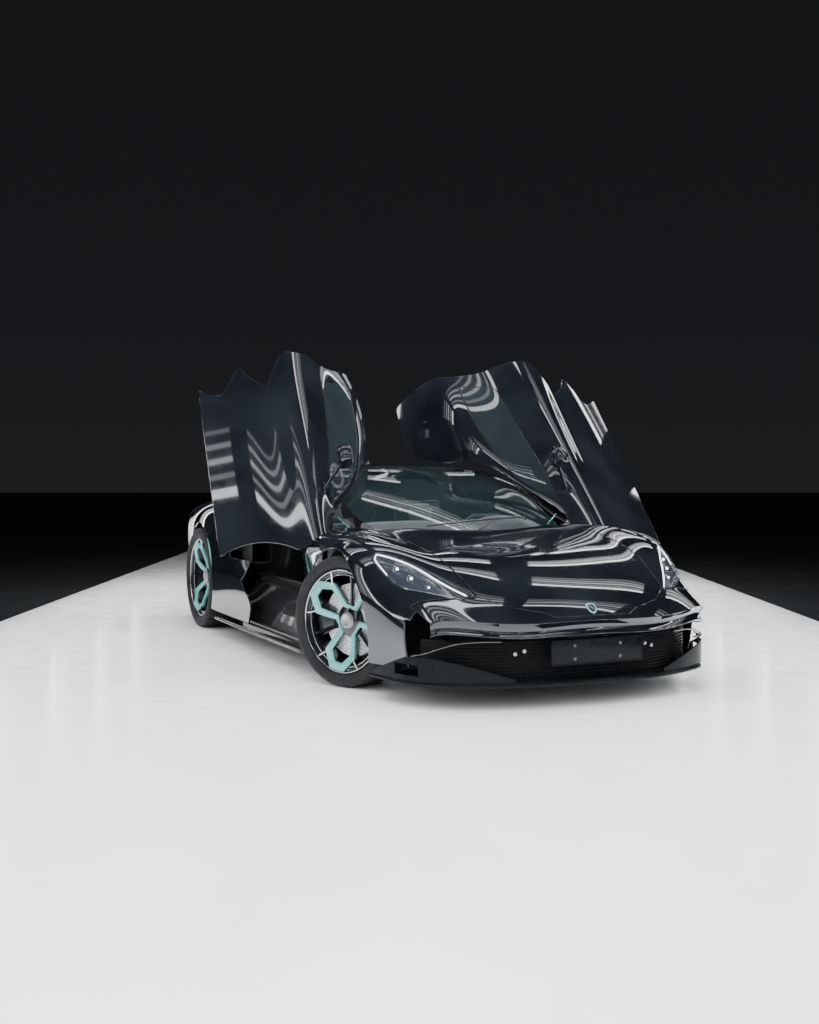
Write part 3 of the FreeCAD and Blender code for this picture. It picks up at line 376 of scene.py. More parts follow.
def clip(q, t, keep, net):
    """Cut the triangles at keep = 0 and put the new points on the surface."""
    f = np.asarray(keep(q), float).copy()
    if (f > 0).all():
        return q, t
    t = t[(f[t] > 0).any(1)]
    e = np.sort(np.concatenate([t[:, :2], t[:, 1:], t[:, ::2]]), 1)
    e = np.unique(e, axis=0)
    e = e[(f[e[:, 0]] > 0) != (f[e[:, 1]] > 0)]
    q0, q = q, q.copy()
    moved = set()
    for a, b in e:
        if f[a] == 0 or f[b] == 0:
            continue
        s = f[a] / (f[a] - f[b])
        if s < 0.25 and a not in moved:
            q[a] = q0[a] + (q0[b] - q0[a]) * s
            f[a] = 0.0
            moved.add(a)
        elif s > 0.75 and b not in moved:
            q[b] = q0[a] + (q0[b] - q0[a]) * s
            f[b] = 0.0
            moved.add(b)
    more, cuts, out = [], {}, []
    whole = (f[t] >= 0).all(1) & (f[t] > 0).any(1)

    def cut(a, b):
        key = (min(a, b), max(a, b))
        if key not in cuts:
            s = f[a] / (f[a] - f[b])
            more.append(q[a] + (q[b] - q[a]) * s)
            cuts[key] = len(q) + len(more) - 1
        return cuts[key]

    for tri in t[~whole]:
        if (f[tri] <= 0).all():
            continue
        poly = []
        for k in range(3):
            a, b = tri[k], tri[(k + 1) % 3]
            if f[a] >= 0:
                poly.append(a)
            if (f[a] > 0 > f[b]) or (f[a] < 0 < f[b]):
                poly.append(cut(a, b))
        for k in range(1, len(poly) - 1):
            if len({poly[0], poly[k], poly[k + 1]}) == 3:
                out.append((poly[0], poly[k], poly[k + 1]))
    q = np.vstack([q] + ([np.array(more)] if more else []))
    q[:, 5] = np.where(q[:, 5] < 0, -1.0, 1.0)
    t = np.vstack([t[whole]] + ([np.array(out)] if out else []))
    used, new = np.unique(t, return_inverse=True)
    return place(q[used], net), new.reshape(t.shape)


def shell(q, t, net, thick, r=2.2):
    """Closed panel with a small rounded rim: points in mm, faces, one normal per face corner, inner flags."""
    n = normals(q, net)
    p = q[:, :3]
    count = len(q)
    depth = thick(q) if callable(thick) else np.full(count, float(thick))
    directed = np.concatenate([t[:, [0, 1]], t[:, [1, 2]], t[:, [2, 0]]])
    code = directed[:, 0] * count + directed[:, 1]
    back = directed[:, 1] * count + directed[:, 0]
    rim = directed[~np.isin(code, back)]
    a, b = rim[:, 0], rim[:, 1]
    side = unit(np.cross(p[b] - p[a], unit(n[a] + n[b])))
    out = np.zeros((count, 3))
    np.add.at(out, a, side)
    np.add.at(out, b, side)
    out = unit(out)
    lateral = np.zeros(count)
    np.add.at(lateral, a, np.einsum("nc,nc->n", out[a], side))
    np.add.at(lateral, b, np.einsum("nc,nc->n", out[b], side))
    miter = 1 / np.clip(lateral / 2, 0.6, 1)
    edge = np.unique(rim)
    e = {v: k for k, v in enumerate(edge)}
    o, m, d, w = out[edge], n[edge], depth[edge][:, None], miter[edge][:, None]
    rr = np.minimum(r, d * 0.45)
    rings = [p[edge] + o * w * rr * 0.7071 - m * rr * 0.2929, p[edge] + o * w * rr - m * rr, p[edge] + o * w * rr - m * (d - rr * 0.5)]
    pts = np.vstack([p] + rings + [p - n * depth[:, None]])
    base = [count + len(edge) * k for k in range(3)]
    inner = count + 3 * len(edge)
    faces, loops, flags = [list(x) for x in t], [n[t].reshape(-1, 3)], [0] * len(t)
    ring_n = [n[edge], unit(o + m), o, o]
    ea = np.array([e[v] for v in a])
    eb = np.array([e[v] for v in b])
    first = [list(x) for x in np.stack([b, a, base[0] + ea, base[0] + eb], 1)]
    faces += first
    loops.append(np.stack([ring_n[0][eb], ring_n[0][ea], ring_n[1][ea], ring_n[1][eb]], 1).reshape(-1, 3))
    for k in (0, 1):
        faces += [list(x) for x in np.stack([base[k] + eb, base[k] + ea, base[k + 1] + ea, base[k + 1] + eb], 1)]
        loops.append(np.stack([ring_n[k + 1][eb], ring_n[k + 1][ea], ring_n[k + 2][ea], ring_n[k + 2][eb]], 1).reshape(-1, 3))
    faces += [list(x) for x in np.stack([base[2] + eb, base[2] + ea, inner + a, inner + b], 1)]
    loops.append(np.stack([-ring_n[0][eb], -ring_n[0][ea], -ring_n[0][ea], -ring_n[0][eb]], 1).reshape(-1, 3))
    flags += [0] * (3 * len(rim)) + [1] * len(rim)
    faces += [list(x) for x in t[:, ::-1] + inner]
    loops.append(-n[t[:, ::-1]].reshape(-1, 3))
    flags += [1] * len(t)
    return pts, faces, np.vstack(loops), flags


def mirror(mesh):
    """The same mesh on the car's other side."""
    pts, faces, loops, flags = mesh
    pts = pts * (-1, 1, 1)
    if loops is not None:
        loops, k, turned = loops * (-1, 1, 1), 0, []
        for f in faces:
            turned.append(loops[k:k + len(f)][::-1])
            k += len(f)
        loops = np.vstack(turned)
    return pts, [f[::-1] for f in faces], loops, flags


HINGE = np.array(HINGE_POINT)
SWING = unit(np.array(HINGE_AXIS))


def turn(a, deg, about=True):
    """Swings points, or directions with about=False, round the left door's hinge line."""
    c, s = math.cos(math.radians(deg)), math.sin(math.radians(deg))
    d = a - HINGE if about else a
    d = d * c + np.cross(SWING, d) * s + SWING * (d @ SWING)[:, None] * (1 - c)
    return d + HINGE if about else d


def opened(mesh):
    pts, faces, loops, flags = mesh
    return turn(pts, DOOR_OPEN_DEG), faces, None if loops is None else turn(loops, DOOR_OPEN_DEG, False), flags


def piece(name, mesh, mats, body="body", sharp=35.0, bevel=0.0, segments=2, subsurf=0, stands_for=(), slot=None):
    """One Blender object from a mesh in mm: (points, faces, corner normals or None, material flags or None)."""
    pts, faces, loops, flags = mesh
    me = bpy.data.meshes.new(name)
    me.from_pydata((np.asarray(pts) * MM).tolist(), [], [[int(i) for i in f] for f in faces])
    me.polygons.foreach_set("use_smooth", [True] * len(me.polygons))
    for m in mats if isinstance(mats, (list, tuple)) else [mats]:
        me.materials.append(m)
    if flags is not None:
        me.polygons.foreach_set("material_index", np.minimum(flags, len(me.materials) - 1).tolist())
    if loops is not None:
        me.normals_split_custom_set(loops.tolist())
    elif sharp < 180 and not subsurf:
        me.set_sharp_from_angle(angle=math.radians(sharp))
    me.update()
    o = bpy.data.objects.new(name, me)
    bpy.context.scene.collection.objects.link(o)
    if bevel:
        b = o.modifiers.new("edge", "BEVEL")
        b.width, b.segments, b.limit_method, b.angle_limit = bevel * MM, segments, "ANGLE", math.radians(30)
        b.harden_normals = True
    if subsurf:
        s = o.modifiers.new("smooth", "SUBSURF")
        s.levels = s.render_levels = subsurf
    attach(o, body)
    if stands_for:
        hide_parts(*([stands_for] if isinstance(stands_for, str) else stands_for))
    return o


def join(*meshes):
    pts, faces, flags, k = [], [], [], 0
    for m in meshes:
        pts.append(np.asarray(m[0], float))
        faces += [[i + k for i in f] for f in m[1]]
        flags += list(m[3]) if m[3] is not None else [0] * len(m[1])
        k += len(m[0])
    return np.vstack(pts), faces, None, flags


def moved(mesh, by=(0, 0, 0), matrix=None):
    pts = np.asarray(mesh[0], float)
    if matrix is not None:
        pts = pts @ np.array(matrix).T
    return pts + np.array(by, float), mesh[1], None, mesh[3]


def spin_matrix(axis, deg):
    return np.array(Matrix.Rotation(math.radians(deg), 3, axis))


def lathe(profile, n=64, flag=0, closed=True):
    """Closed profile of (x, radius) turned about X."""
    p = np.array(profile, float)
    a = np.linspace(0, 2 * math.pi, n, endpoint=False)
    pts = np.stack([np.repeat(p[None, :, 0], n, 0), p[None, :, 1] * np.cos(a)[:, None], p[None, :, 1] * np.sin(a)[:, None]], 2).reshape(-1, 3)
    m, faces = len(p), []
    for i in range(n):
        j = (i + 1) % n
        for k in range(m if closed else m - 1):
            l = (k + 1) % m
            faces.append([i * m + k, j * m + k, j * m + l, i * m + l])
    area = sum(p[k, 0] * p[(k + 1) % m, 1] - p[(k + 1) % m, 0] * p[k, 1] for k in range(m))
    if area > 0:
        faces = [f[::-1] for f in faces]
    return pts, faces, None, [flag] * len(faces)


def tube(path, r, n=8, flag=0, closed=False, flat=1.0, up=(0, 0, 1)):
    """Round or flattened tube along points in mm; r may be one number or one for each point."""
    p = np.array(path, float)
    r = np.full(len(p), float(r)) if np.isscalar(r) else np.array(r, float)
    d = np.roll(p, -1, 0) - np.roll(p, 1, 0) if closed else np.gradient(p, axis=0)
    d = unit(d)
    u = unit(np.cross(d, np.array(up, float)) + 1e-9)
    w = np.cross(u, d)
    a = np.linspace(0, 2 * math.pi, n, endpoint=False)
    pts = (p[:, None] + r[:, None, None] * (u[:, None] * np.cos(a)[None, :, None] + flat * w[:, None] * np.sin(a)[None, :, None])).reshape(-1, 3)
    faces, m = [], len(p)
    for i in range(m if closed else m - 1):
        j = (i + 1) % m
        for k in range(n):
            l = (k + 1) % n
            faces.append([i * n + k, i * n + l, j * n + l, j * n + k])
    if not closed:
        faces += [list(range(n))[::-1], [(m - 1) * n + k for k in range(n)]]
    return pts, faces, None, [flag] * len(faces)


def loft(sections, flag=0, caps=True, closed=True):
    s = np.array(sections, float)
    m, n = s.shape[:2]
    faces = []
    for i in range(m - 1):
        for k in range(n if closed else n - 1):
            l = (k + 1) % n
            faces.append([i * n + k, i * n + l, (i + 1) * n + l, (i + 1) * n + k])
    if caps:
        faces += [list(range(n))[::-1], [(m - 1) * n + k for k in range(n)]]
    pts = s.reshape(-1, 3)
    return outward((pts, faces, None, [flag] * len(faces)))


def outward(mesh):
    """Turns the faces round if the closed mesh has a negative volume."""
    pts, faces = mesh[0], mesh[1]
    v = 0.0
    for f in faces:
        for k in range(1, len(f) - 1):
            v += np.dot(pts[f[0]], np.cross(pts[f[k]], pts[f[k + 1]]))
    return mesh if v > 0 else (pts, [f[::-1] for f in faces], mesh[2], mesh[3])


def slab(outline, x0, x1, flag=0):
    """Side-view outline of (y, z), pulled along X."""
    a = [(x0, y, z) for y, z in outline]
    b = [(x1, y, z) for y, z in outline]
    return loft([a, b], flag)


def rounded(outline, r, n=4):
    """Outline of two-number points with its corners rounded."""
    p, out = np.array(outline, float), []
    for i in range(len(p)):
        a, b, c = p[i - 1], p[i], p[(i + 1) % len(p)]
        la, lc = np.linalg.norm(a - b), np.linalg.norm(c - b)
        d = min(r, la * 0.45, lc * 0.45)
        s, e = b + (a - b) / la * d, b + (c - b) / lc * d
        for k in range(n + 1):
            t = k / n
            out.append((1 - t) ** 2 * s + 2 * t * (1 - t) * b + t * t * e)
    return np.array(out)


def block(lo, hi, flag=0):
    (x0, y0, z0), (x1, y1, z1) = lo, hi
    return loft([[(x0, y0, z0), (x1, y0, z0), (x1, y1, z0), (x0, y1, z0)], [(x0, y0, z1), (x1, y0, z1), (x1, y1, z1), (x0, y1, z1)]], flag)


def disc_at(centre, axis, r, h, n=24, flag=0, dome=0.0):
    """Short round boss with a soft edge, standing on centre along axis."""
    prof = [(0, 0.01), (0, r), (h * 0.7, r), (h, r * 0.86), (h + dome * 0.6, r * 0.45), (h + dome, 0.01)]
    pts, faces, _, fl = lathe(prof, n, flag)
    q = Vector((1, 0, 0)).rotation_difference(Vector(axis).normalized()).to_matrix()
    return outward((pts @ np.array(q).T + np.array(centre, float), faces, None, fl))


def both_sides(name, mesh, mats, bodies=("body", "body"), stands_for=None, **kw):
    for word, m, body in (("left", mesh, bodies[0]), ("right", mirror(mesh), bodies[1])):
        extra = dict(kw)
        if stands_for:
            extra["stands_for"] = [s + "_" + word for s in ([stands_for] if isinstance(stands_for, str) else stands_for)]
        piece(name + "_" + word, m, mats, body, **extra)


# ---------------------------------------------------------------- materials
def material(name, base, base2=None, rough=(0.3, 0.4), metallic=0.0, coat=0.0, coat_rough=0.02, scale=12.0, detail=5.0,
             bump=0.0, bump_scale=300.0, bump_kind="noise", sheen=0.0, transmission=0.0, ior=1.5, spec=0.5,
             emission=None, strength=0.0, stretch=(1, 1, 1), turned=(0, 0, 0), alpha=1.0):
    m = bpy.data.materials.new(name)
    m.use_nodes = True
    nt = m.node_tree
    nt.nodes.clear()
    new, link = nt.nodes.new, nt.links.new
    out, s = new("ShaderNodeOutputMaterial"), new("ShaderNodeBsdfPrincipled")
    link(s.outputs["BSDF"], out.inputs["Surface"])
    tc, mp = new("ShaderNodeTexCoord"), new("ShaderNodeMapping")
    link(tc.outputs["Object"], mp.inputs["Vector"])
    mp.inputs["Scale"].default_value = stretch
    mp.inputs["Rotation"].default_value = tuple(math.radians(a) for a in turned)
    noise = new("ShaderNodeTexNoise")
    noise.inputs["Scale"].default_value = scale
    noise.inputs["Detail"].default_value = detail
    link(mp.outputs["Vector"], noise.inputs["Vector"])
    ramp = new("ShaderNodeValToRGB")
    base2 = base2 or tuple(c * 1.35 + 0.002 for c in base)
    ramp.color_ramp.elements[0].position, ramp.color_ramp.elements[1].position = 0.35, 0.68
    ramp.color_ramp.elements[0].color, ramp.color_ramp.elements[1].color = (*base, 1), (*base2, 1)
    link(noise.outputs["Fac"], ramp.inputs["Fac"])
    link(ramp.outputs["Color"], s.inputs["Base Color"])
    fine = new("ShaderNodeTexNoise")
    fine.inputs["Scale"].default_value = scale * 6.5
    fine.inputs["Detail"].default_value = 3
    link(mp.outputs["Vector"], fine.inputs["Vector"])
    span = new("ShaderNodeMapRange")
    span.inputs["From Min"].default_value, span.inputs["From Max"].default_value = 0.35, 0.65
    span.inputs["To Min"].default_value, span.inputs["To Max"].default_value = rough
    link(fine.outputs["Fac"], span.inputs["Value"])
    link(span.outputs["Result"], s.inputs["Roughness"])
    s.inputs["Metallic"].default_value = metallic
    s.inputs["Coat Weight"].default_value = coat
    s.inputs["Coat Roughness"].default_value = coat_rough
    s.inputs["Sheen Weight"].default_value = sheen
    s.inputs["Sheen Roughness"].default_value = 0.4
    s.inputs["Transmission Weight"].default_value = transmission
    s.inputs["IOR"].default_value = ior
    s.inputs["Specular IOR Level"].default_value = spec
    s.inputs["Alpha"].default_value = alpha
    if emission:
        s.inputs["Emission Color"].default_value = (*emission, 1)
        s.inputs["Emission Strength"].default_value = strength
    if bump:
        if bump_kind == "noise":
            b = new("ShaderNodeTexNoise")
            b.inputs["Scale"].default_value = bump_scale
            b.inputs["Detail"].default_value = 4
            h = b.outputs["Fac"]
        elif bump_kind in ("cells", "dots"):
            b = new("ShaderNodeTexVoronoi")
            b.inputs["Scale"].default_value = bump_scale
            b.inputs["Randomness"].default_value = 1.0 if bump_kind == "cells" else 0.0
            h = b.outputs["Distance"]
        else:
            b = new("ShaderNodeTexWave")
            b.inputs["Scale"].default_value = bump_scale
            b.inputs["Distortion"].default_value = 0.4
            h = b.outputs["Fac"]
        link(mp.outputs["Vector"], b.inputs["Vector"])
        if bump_kind == "dots":
            r = new("ShaderNodeValToRGB")
            r.color_ramp.elements[0].position, r.color_ramp.elements[1].position = 0.16, 0.24
            link(h, r.inputs["Fac"])
            h = r.outputs["Color"]
        bm = new("ShaderNodeBump")
        bm.inputs["Strength"].default_value = bump
        bm.inputs["Distance"].default_value = 0.001
        link(h, bm.inputs["Height"])
        link(bm.outputs["Normal"], s.inputs["Normal"])
    return m


PAINT = material("paint_black", (0.004, 0.005, 0.007), (0.009, 0.011, 0.014), (0.045, 0.085), 0.25, 1.0, 0.012, 3.0, bump=0.010, bump_scale=900)
CARBON = material("carbon_gloss", (0.006, 0.007, 0.008), (0.020, 0.021, 0.023), (0.10, 0.18), 0.1, 1.0, 0.03, 260, 1, bump=0.04, bump_scale=260, bump_kind="wave", turned=(0, 0, 45))
TRIM = material("trim_black", (0.012, 0.013, 0.015), (0.022, 0.023, 0.026), (0.34, 0.5), scale=25, bump=0.25, bump_scale=700)
TRIM_GLOSS = material("trim_gloss", (0.008, 0.009, 0.011), (0.015, 0.016, 0.019), (0.06, 0.12), 0, 0.6, 0.02, 15, bump=0.02, bump_scale=500)
DARK = material("underbody_black", (0.006, 0.006, 0.007), (0.014, 0.014, 0.015), (0.55, 0.8), scale=20, bump=0.3, bump_scale=260)
GLASS_CLEAR = material("glass_clear", (0.008, 0.018, 0.020), (0.014, 0.026, 0.029), (0.0, 0.012), 0, 1.0, 0.0, 4, alpha=0.24)
GLASS_TINT = material("glass_tinted", (0.010, 0.015, 0.018), (0.016, 0.022, 0.026), (0.0, 0.014), 0, 1.0, 0.0, 4, alpha=0.50)
GLASS_BLACK = material("glass_black", (0.008, 0.010, 0.012), (0.014, 0.016, 0.018), (0.02, 0.05), 0, 1.0, 0.01, 6, bump=0.006, bump_scale=500)
LENS = material("lamp_lens", (0.05, 0.06, 0.07), (0.07, 0.08, 0.09), (0.0, 0.01), 0, 1.0, 0.0, 5, alpha=0.13)
BOWL = material("lamp_bowl", (0.004, 0.006, 0.011), (0.010, 0.016, 0.032), (0.16, 0.28), 0.3, 0.4, 0.05, 30, bump=0.01, bump_scale=60)
CHROME = material("lamp_reflector", (0.55, 0.58, 0.62), (0.68, 0.70, 0.74), (0.06, 0.14), 1.0, scale=60, bump=0.03, bump_scale=500)
LED = material("led_white", (0.9, 0.93, 1.0), (0.95, 0.97, 1.0), (0.2, 0.3), scale=60, emission=(0.92, 0.96, 1.0), strength=3.2)
LED_SPOT = material("led_spot", (0.9, 0.95, 1.0), (1, 1, 1), (0.2, 0.3), scale=60, emission=(0.95, 0.98, 1.0), strength=7.0)
RED = material("tail_red", (0.16, 0.004, 0.007), (0.26, 0.008, 0.012), (0.08, 0.16), 0, 1.0, 0.02, 40, bump=0.10, bump_scale=240, bump_kind="wave", emission=(0.9, 0.02, 0.03), strength=0.35)
AQUA = material("accent_turquoise", (0.110, 0.335, 0.335), (0.138, 0.390, 0.382), (0.22, 0.34), 0.35, 0.5, 0.08, 60, bump=0.05, bump_scale=900)
AQUA_SOFT = material("accent_turquoise_hide", (0.13, 0.34, 0.34), (0.17, 0.40, 0.40), (0.4, 0.55), scale=40, bump=0.25, bump_scale=600, bump_kind="cells", sheen=0.1)
RIM_BLACK = material("rim_black", (0.006, 0.007, 0.009), (0.014, 0.015, 0.018), (0.10, 0.2), 0.5, 0.8, 0.04, 30, bump=0.03, bump_scale=600)
RIM_CUT = material("rim_turned", (0.55, 0.56, 0.58), (0.66, 0.67, 0.69), (0.14, 0.24), 1.0, scale=40, stretch=(1, 1, 1), bump=0.08, bump_scale=900)
NUT = material("centre_nut", (0.34, 0.35, 0.37), (0.46, 0.47, 0.49), (0.24, 0.38), 0.9, scale=120, bump=0.5, bump_scale=420, bump_kind="cells")
DISC = material("brake_disc", (0.58, 0.58, 0.59), (0.74, 0.74, 0.75), (0.22, 0.36), 0.35, scale=24, bump=0.12, bump_scale=500)
CALIPER = material("caliper_black", (0.012, 0.013, 0.015), (0.022, 0.024, 0.027), (0.16, 0.28), 0.2, 0.6, 0.05, 30, bump=0.05, bump_scale=400)
RUBBER = material("tyre_rubber", (0.008, 0.008, 0.009), (0.014, 0.014, 0.015), (0.55, 0.7), scale=18, bump=0.3, bump_scale=420, spec=0.22)
STEEL = material("cast_steel", (0.09, 0.09, 0.095), (0.16, 0.16, 0.165), (0.38, 0.55), 0.8, scale=60, bump=0.4, bump_scale=300)
ALLOY = material("bare_alloy", (0.36, 0.37, 0.38), (0.48, 0.49, 0.5), (0.28, 0.42), 0.9, scale=50, bump=0.25, bump_scale=350)
BATTERY = material("battery_case", (0.12, 0.125, 0.13), (0.18, 0.185, 0.19), (0.36, 0.5), 0.7, scale=30, bump=0.2, bump_scale=220, bump_kind="wave")
HIDE = material("seat_leather", (0.022, 0.026, 0.030), (0.034, 0.039, 0.044), (0.36, 0.5), scale=30, bump=0.30, bump_scale=520, bump_kind="cells", sheen=0.08)
HIDE_DOTS = material("seat_perforated", (0.030, 0.034, 0.039), (0.044, 0.050, 0.056), (0.42, 0.56), scale=30, bump=0.9, bump_scale=95, bump_kind="dots", turned=(-22, 0, 0), sheen=0.12)
CABIN = material("cabin_leather", (0.016, 0.018, 0.021), (0.027, 0.030, 0.034), (0.40, 0.55), scale=30, bump=0.30, bump_scale=480, bump_kind="cells", sheen=0.05)
SUEDE = material("cabin_suede", (0.018, 0.020, 0.023), (0.034, 0.037, 0.042), (0.8, 0.95), scale=60, bump=0.4, bump_scale=900, sheen=0.35)
PIPING = material("piping_grey", (0.22, 0.25, 0.27), (0.30, 0.33, 0.35), (0.4, 0.5), scale=80, bump=0.3, bump_scale=600, sheen=0.1)
CARPET = material("floor_carpet", (0.010, 0.010, 0.011), (0.028, 0.028, 0.030), (0.9, 1.0), scale=200, bump=1.0, bump_scale=600, sheen=0.3)
SCREEN = material("display_glass", (0.006, 0.008, 0.010), (0.010, 0.014, 0.017), (0.03, 0.06), 0, 1.0, 0.01, 20, bump=0.004, bump_scale=500)
# dark sheet for the backs of the front intake and the side ducts: painted shade where the openings run deep
SHADE_SHEET = material("intake_shade_sheet", (0.003, 0.003, 0.0035), (0.006, 0.006, 0.007), (0.5, 0.65), scale=60, bump=0.3, bump_scale=160, spec=0.12)
SATIN = material("satin_black", (0.0025, 0.003, 0.0036), (0.005, 0.006, 0.007), (0.20, 0.30), 0, 0.0, 0.1, 40, bump=0.02, bump_scale=500, spec=0.10)
MIRROR_GLASS = material("mirror_glass", (0.72, 0.74, 0.76), (0.76, 0.78, 0.80), (0.01, 0.03), 1.0, scale=10)
SEAL = material("door_seal", (0.010, 0.010, 0.011), (0.018, 0.018, 0.019), (0.6, 0.75), scale=40, bump=0.2, bump_scale=500)
FLOOR = material("studio_floor", (0.66, 0.67, 0.68), (0.72, 0.73, 0.74), (0.16, 0.26), scale=0.8, bump=0.01, bump_scale=30)
FLOOR_DARK = material("studio_dark", (0.010, 0.011, 0.012), (0.014, 0.015, 0.016), (0.5, 0.6), scale=0.8, spec=0.2)


# ---------------------------------------------------------------- outer panels
def skin(net, us, vs, keeps, thick, both=False, r=2.2):
    q, t = grid(net, us, vs, both)
    for k in keeps:
        q, t = clip(q, t, k, net)
    return shell(q, t, net, thick, r)


def arange(a, b, step):
    n = max(2, int(round((b - a) / step)))
    return np.linspace(a, b, n + 1)


R = 2.2                    # radius on a panel's edge, also added outside its cut


def rows(net, ya, yb, v, step):
    return arange(net.row_of(ya, v), net.row_of(yb, v), step)


bonnet = skin(FRONT_NET, arange(0.2, FRONT_NET.row_of(-1100), 0.07), arange(0, 1.95, 0.085),
              [lambda q: -cowl(q) - GAP / 2 - R, lambda q: (q[:, 3] - bonnet_front(q[:, 4])) * 150.0,
               lambda q: -in_lamp(q) - GAP / 2 - R], 10.0, True)
piece("bonnet_panel", bonnet, [PAINT, TRIM], stands_for="bonnet")
AIR_CURTAIN_Y, NOSE_V, NOSE_U = -1975.0, 4.6, 1.50
fender = skin(FRONT_NET, arange(1.2, 9.0, 0.075), np.concatenate([[2.02], arange(2.1, 8.0, 0.085)]),
              [front_arch, lambda q: np.maximum(q[:, 2] - 425.0, q[:, 1] - AIR_CURTAIN_Y), lambda q: -in_lamp(q) - GAP / 2 - R,
               lambda q: np.maximum((q[:, 3] - NOSE_U) * 200.0, (q[:, 4] - NOSE_V) * 100.0) - GAP,
               lambda q: np.where(q[:, 4] < 3.2, -cowl(q) - GAP, 50.0),
               lambda q: -(q[:, 1] - door_front(q[:, 4] + 2.0)) - GAP + R,
               lambda q: np.where(q[:, 1] < FRONT_AXLE_Y, 1.0, q[:, 2] - 170.0)], 10.0)
both_sides("fender_panel", fender, [PAINT, TRIM], stands_for="fender")
NOSE_BACK = BONNET_EDGE + [(2.05, NOSE_U), (5.0, NOSE_U)]
nose_us = -np.concatenate([-np.arange(1.7, 0.1, -0.06), [-0.1, -0.06, -0.03, 0, 0.04, 0.1], np.arange(0.2, 6.01, 0.14)])
nose_back = np.array(NOSE_BACK)
nose = skin("nose", nose_us, arange(0, NOSE_V, 0.075),
            [lambda q: (np.interp(q[:, 4], nose_back[:, 0], nose_back[:, 1]) - q[:, 3]) * 150.0 - GAP + R,
             lambda q: np.where(q[:, 3] > 0.5, -in_lamp(q) - GAP / 2 - R, 50.0)], 7.0, True)
piece("nose_panel", nose, [PAINT, TRIM], stands_for="nose")


def door_in(q):
    return np.minimum(q[:, 1] - door_front(q[:, 4]), door_rear(q[:, 4]) - q[:, 1])


def glass_in(q):
    return np.minimum(q[:, 1] - glass_front(q[:, 4]), glass_rear(q[:, 4]) - q[:, 1])


def pane_in(q):
    """Round-cornered outline of the side glass."""
    a, b = glass_in(q), np.minimum((q[:, 4] - GLASS_TOP) * 110.0, (GLASS_LOW - q[:, 4]) * 150.0)
    r = 28.0
    corner = r - np.hypot(np.maximum(r - a, 0), np.maximum(r - b, 0))
    return np.where((a < r) & (b < r), corner, np.minimum(a, b))


def door_depth(q):
    v = q[:, 4]
    deep = np.where(v > 4.8, DOOR_THICK, np.where(v < 4.2, FRAME_THICK, FRAME_THICK + (DOOR_THICK - FRAME_THICK) * (v - 4.2) / 0.6))
    inside = np.minimum(door_in(q), (v - 0.42) * 300.0)
    ahead = q[:, 1] - door_front(v)
    flange = np.where(inside < 22, 7.0, 7.0 + (inside - 22.0) * 0.6)
    thin = np.where(ahead < 90, 7.0, 7.0 + (deep - 7.0) * (ahead - 90.0) / 120.0)
    return np.minimum(deep, np.where(v > 3.6, np.minimum(flange, thin), flange))


door = skin(CABIN_NET, rows(CABIN_NET, -1040, 640, 5.0, 0.055), arange(0.42, 10.0, 0.085),
            [lambda q: q[:, 1] - door_front(q[:, 4]) - R, lambda q: door_rear(q[:, 4]) - q[:, 1] - R,
             lambda q: -pane_in(q) - R, front_arch,
             lambda q: (float(CAD_BOX[1][0]) * 1000.0 - 1.0 - turn(q[:, :3], DOOR_OPEN_DEG)[:, 0]) - R,
             lambda q: (float(CAD_BOX[1][2]) * 1000.0 - 1.0 - turn(q[:, :3], DOOR_OPEN_DEG)[:, 2]) - R], door_depth)
both_sides("door_panel", opened(door), [PAINT, TRIM], ("door_left", "door_right"), stands_for="door")
pane = skin(CABIN_NET, rows(CABIN_NET, -720, 460, 3.4, 0.07), arange(2.7, 4.3, 0.08), [lambda q: pane_in(q) - 5.0], 5.0, r=1.0)
both_sides("door_pane", opened(pane), GLASS_TINT, ("door_left", "door_right"), stands_for="door_glass")
roof = skin(CABIN_NET, rows(CABIN_NET, -130, 648, 0.0, 0.055), arange(0, 2.2, 0.085),
            [lambda q: -roof_front(q) - 3.0,
             lambda q: -np.minimum(door_in(q), (q[:, 4] - 0.42) * 300.0) - np.where(q[:, 1] < 100, 20.0, GAP + 6.0) + R], 16.0, True)
piece("roof_panel", roof, [PAINT, SUEDE], stands_for="roof")
lid = skin(CABIN_NET, rows(CABIN_NET, 655, 2255, 0.0, 0.055), arange(0, 2.95, 0.09),
           [lambda q: np.maximum(np.maximum(q[:, 1] - 1176.0, 724.0 - q[:, 1]), (q[:, 4] - 1.72) * 150.0)], 16.0, True)
piece("rear_lid_panel", lid, [PAINT, TRIM], "rear_lid", stands_for="rear_lid")
pane = skin(CABIN_NET, rows(CABIN_NET, 700, 1230, 0.0, 0.07), arange(0, 1.8, 0.09),
            [lambda q: 1168.0 - q[:, 1], lambda q: q[:, 1] - 732.0, lambda q: (1.66 - q[:, 4]) * 150.0], 5.0, True, r=1.0)
piece("rear_window_pane", pane, GLASS_BLACK, "rear_lid", stands_for="rear_window")
quarter = skin(CABIN_NET, rows(CABIN_NET, 120, 2330, 6.0, 0.055), arange(3.05, 10.0, 0.085),
               [rear_arch, lambda q: -np.minimum(door_in(q), (q[:, 4] - 0.42) * 300.0) - GAP - 2.0 + R,
                lambda q: np.where(q[:, 1] > 150, np.maximum.reduce([560.0 + R - q[:, 2], q[:, 1] - 620.0 + R, q[:, 2] - 690.0 + R]), 50.0),
                lambda q: np.maximum(2250.0 - q[:, 1], (q[:, 4] - 4.15) * 100.0)], 10.0)
both_sides("quarter_panel", quarter, [PAINT, TRIM], stands_for="quarter")
screen = skin(CABIN_NET, rows(CABIN_NET, -1300, 20, 0.0, 0.06), arange(0, 2.0, 0.085),
              [lambda q: cowl(q) - GAP / 2, lambda q: -60.0 - q[:, 1] - 60.0 * (q[:, 0] / 600.0) ** 2,
               lambda q: np.where(q[:, 4] > 0.42, door_front(q[:, 4]) - q[:, 1] - PILLAR - GAP - 4.0, 50.0)], 5.0, True, r=1.0)
piece("windscreen_pane", screen, GLASS_CLEAR, stands_for="windscreen", slot="glass_clear")
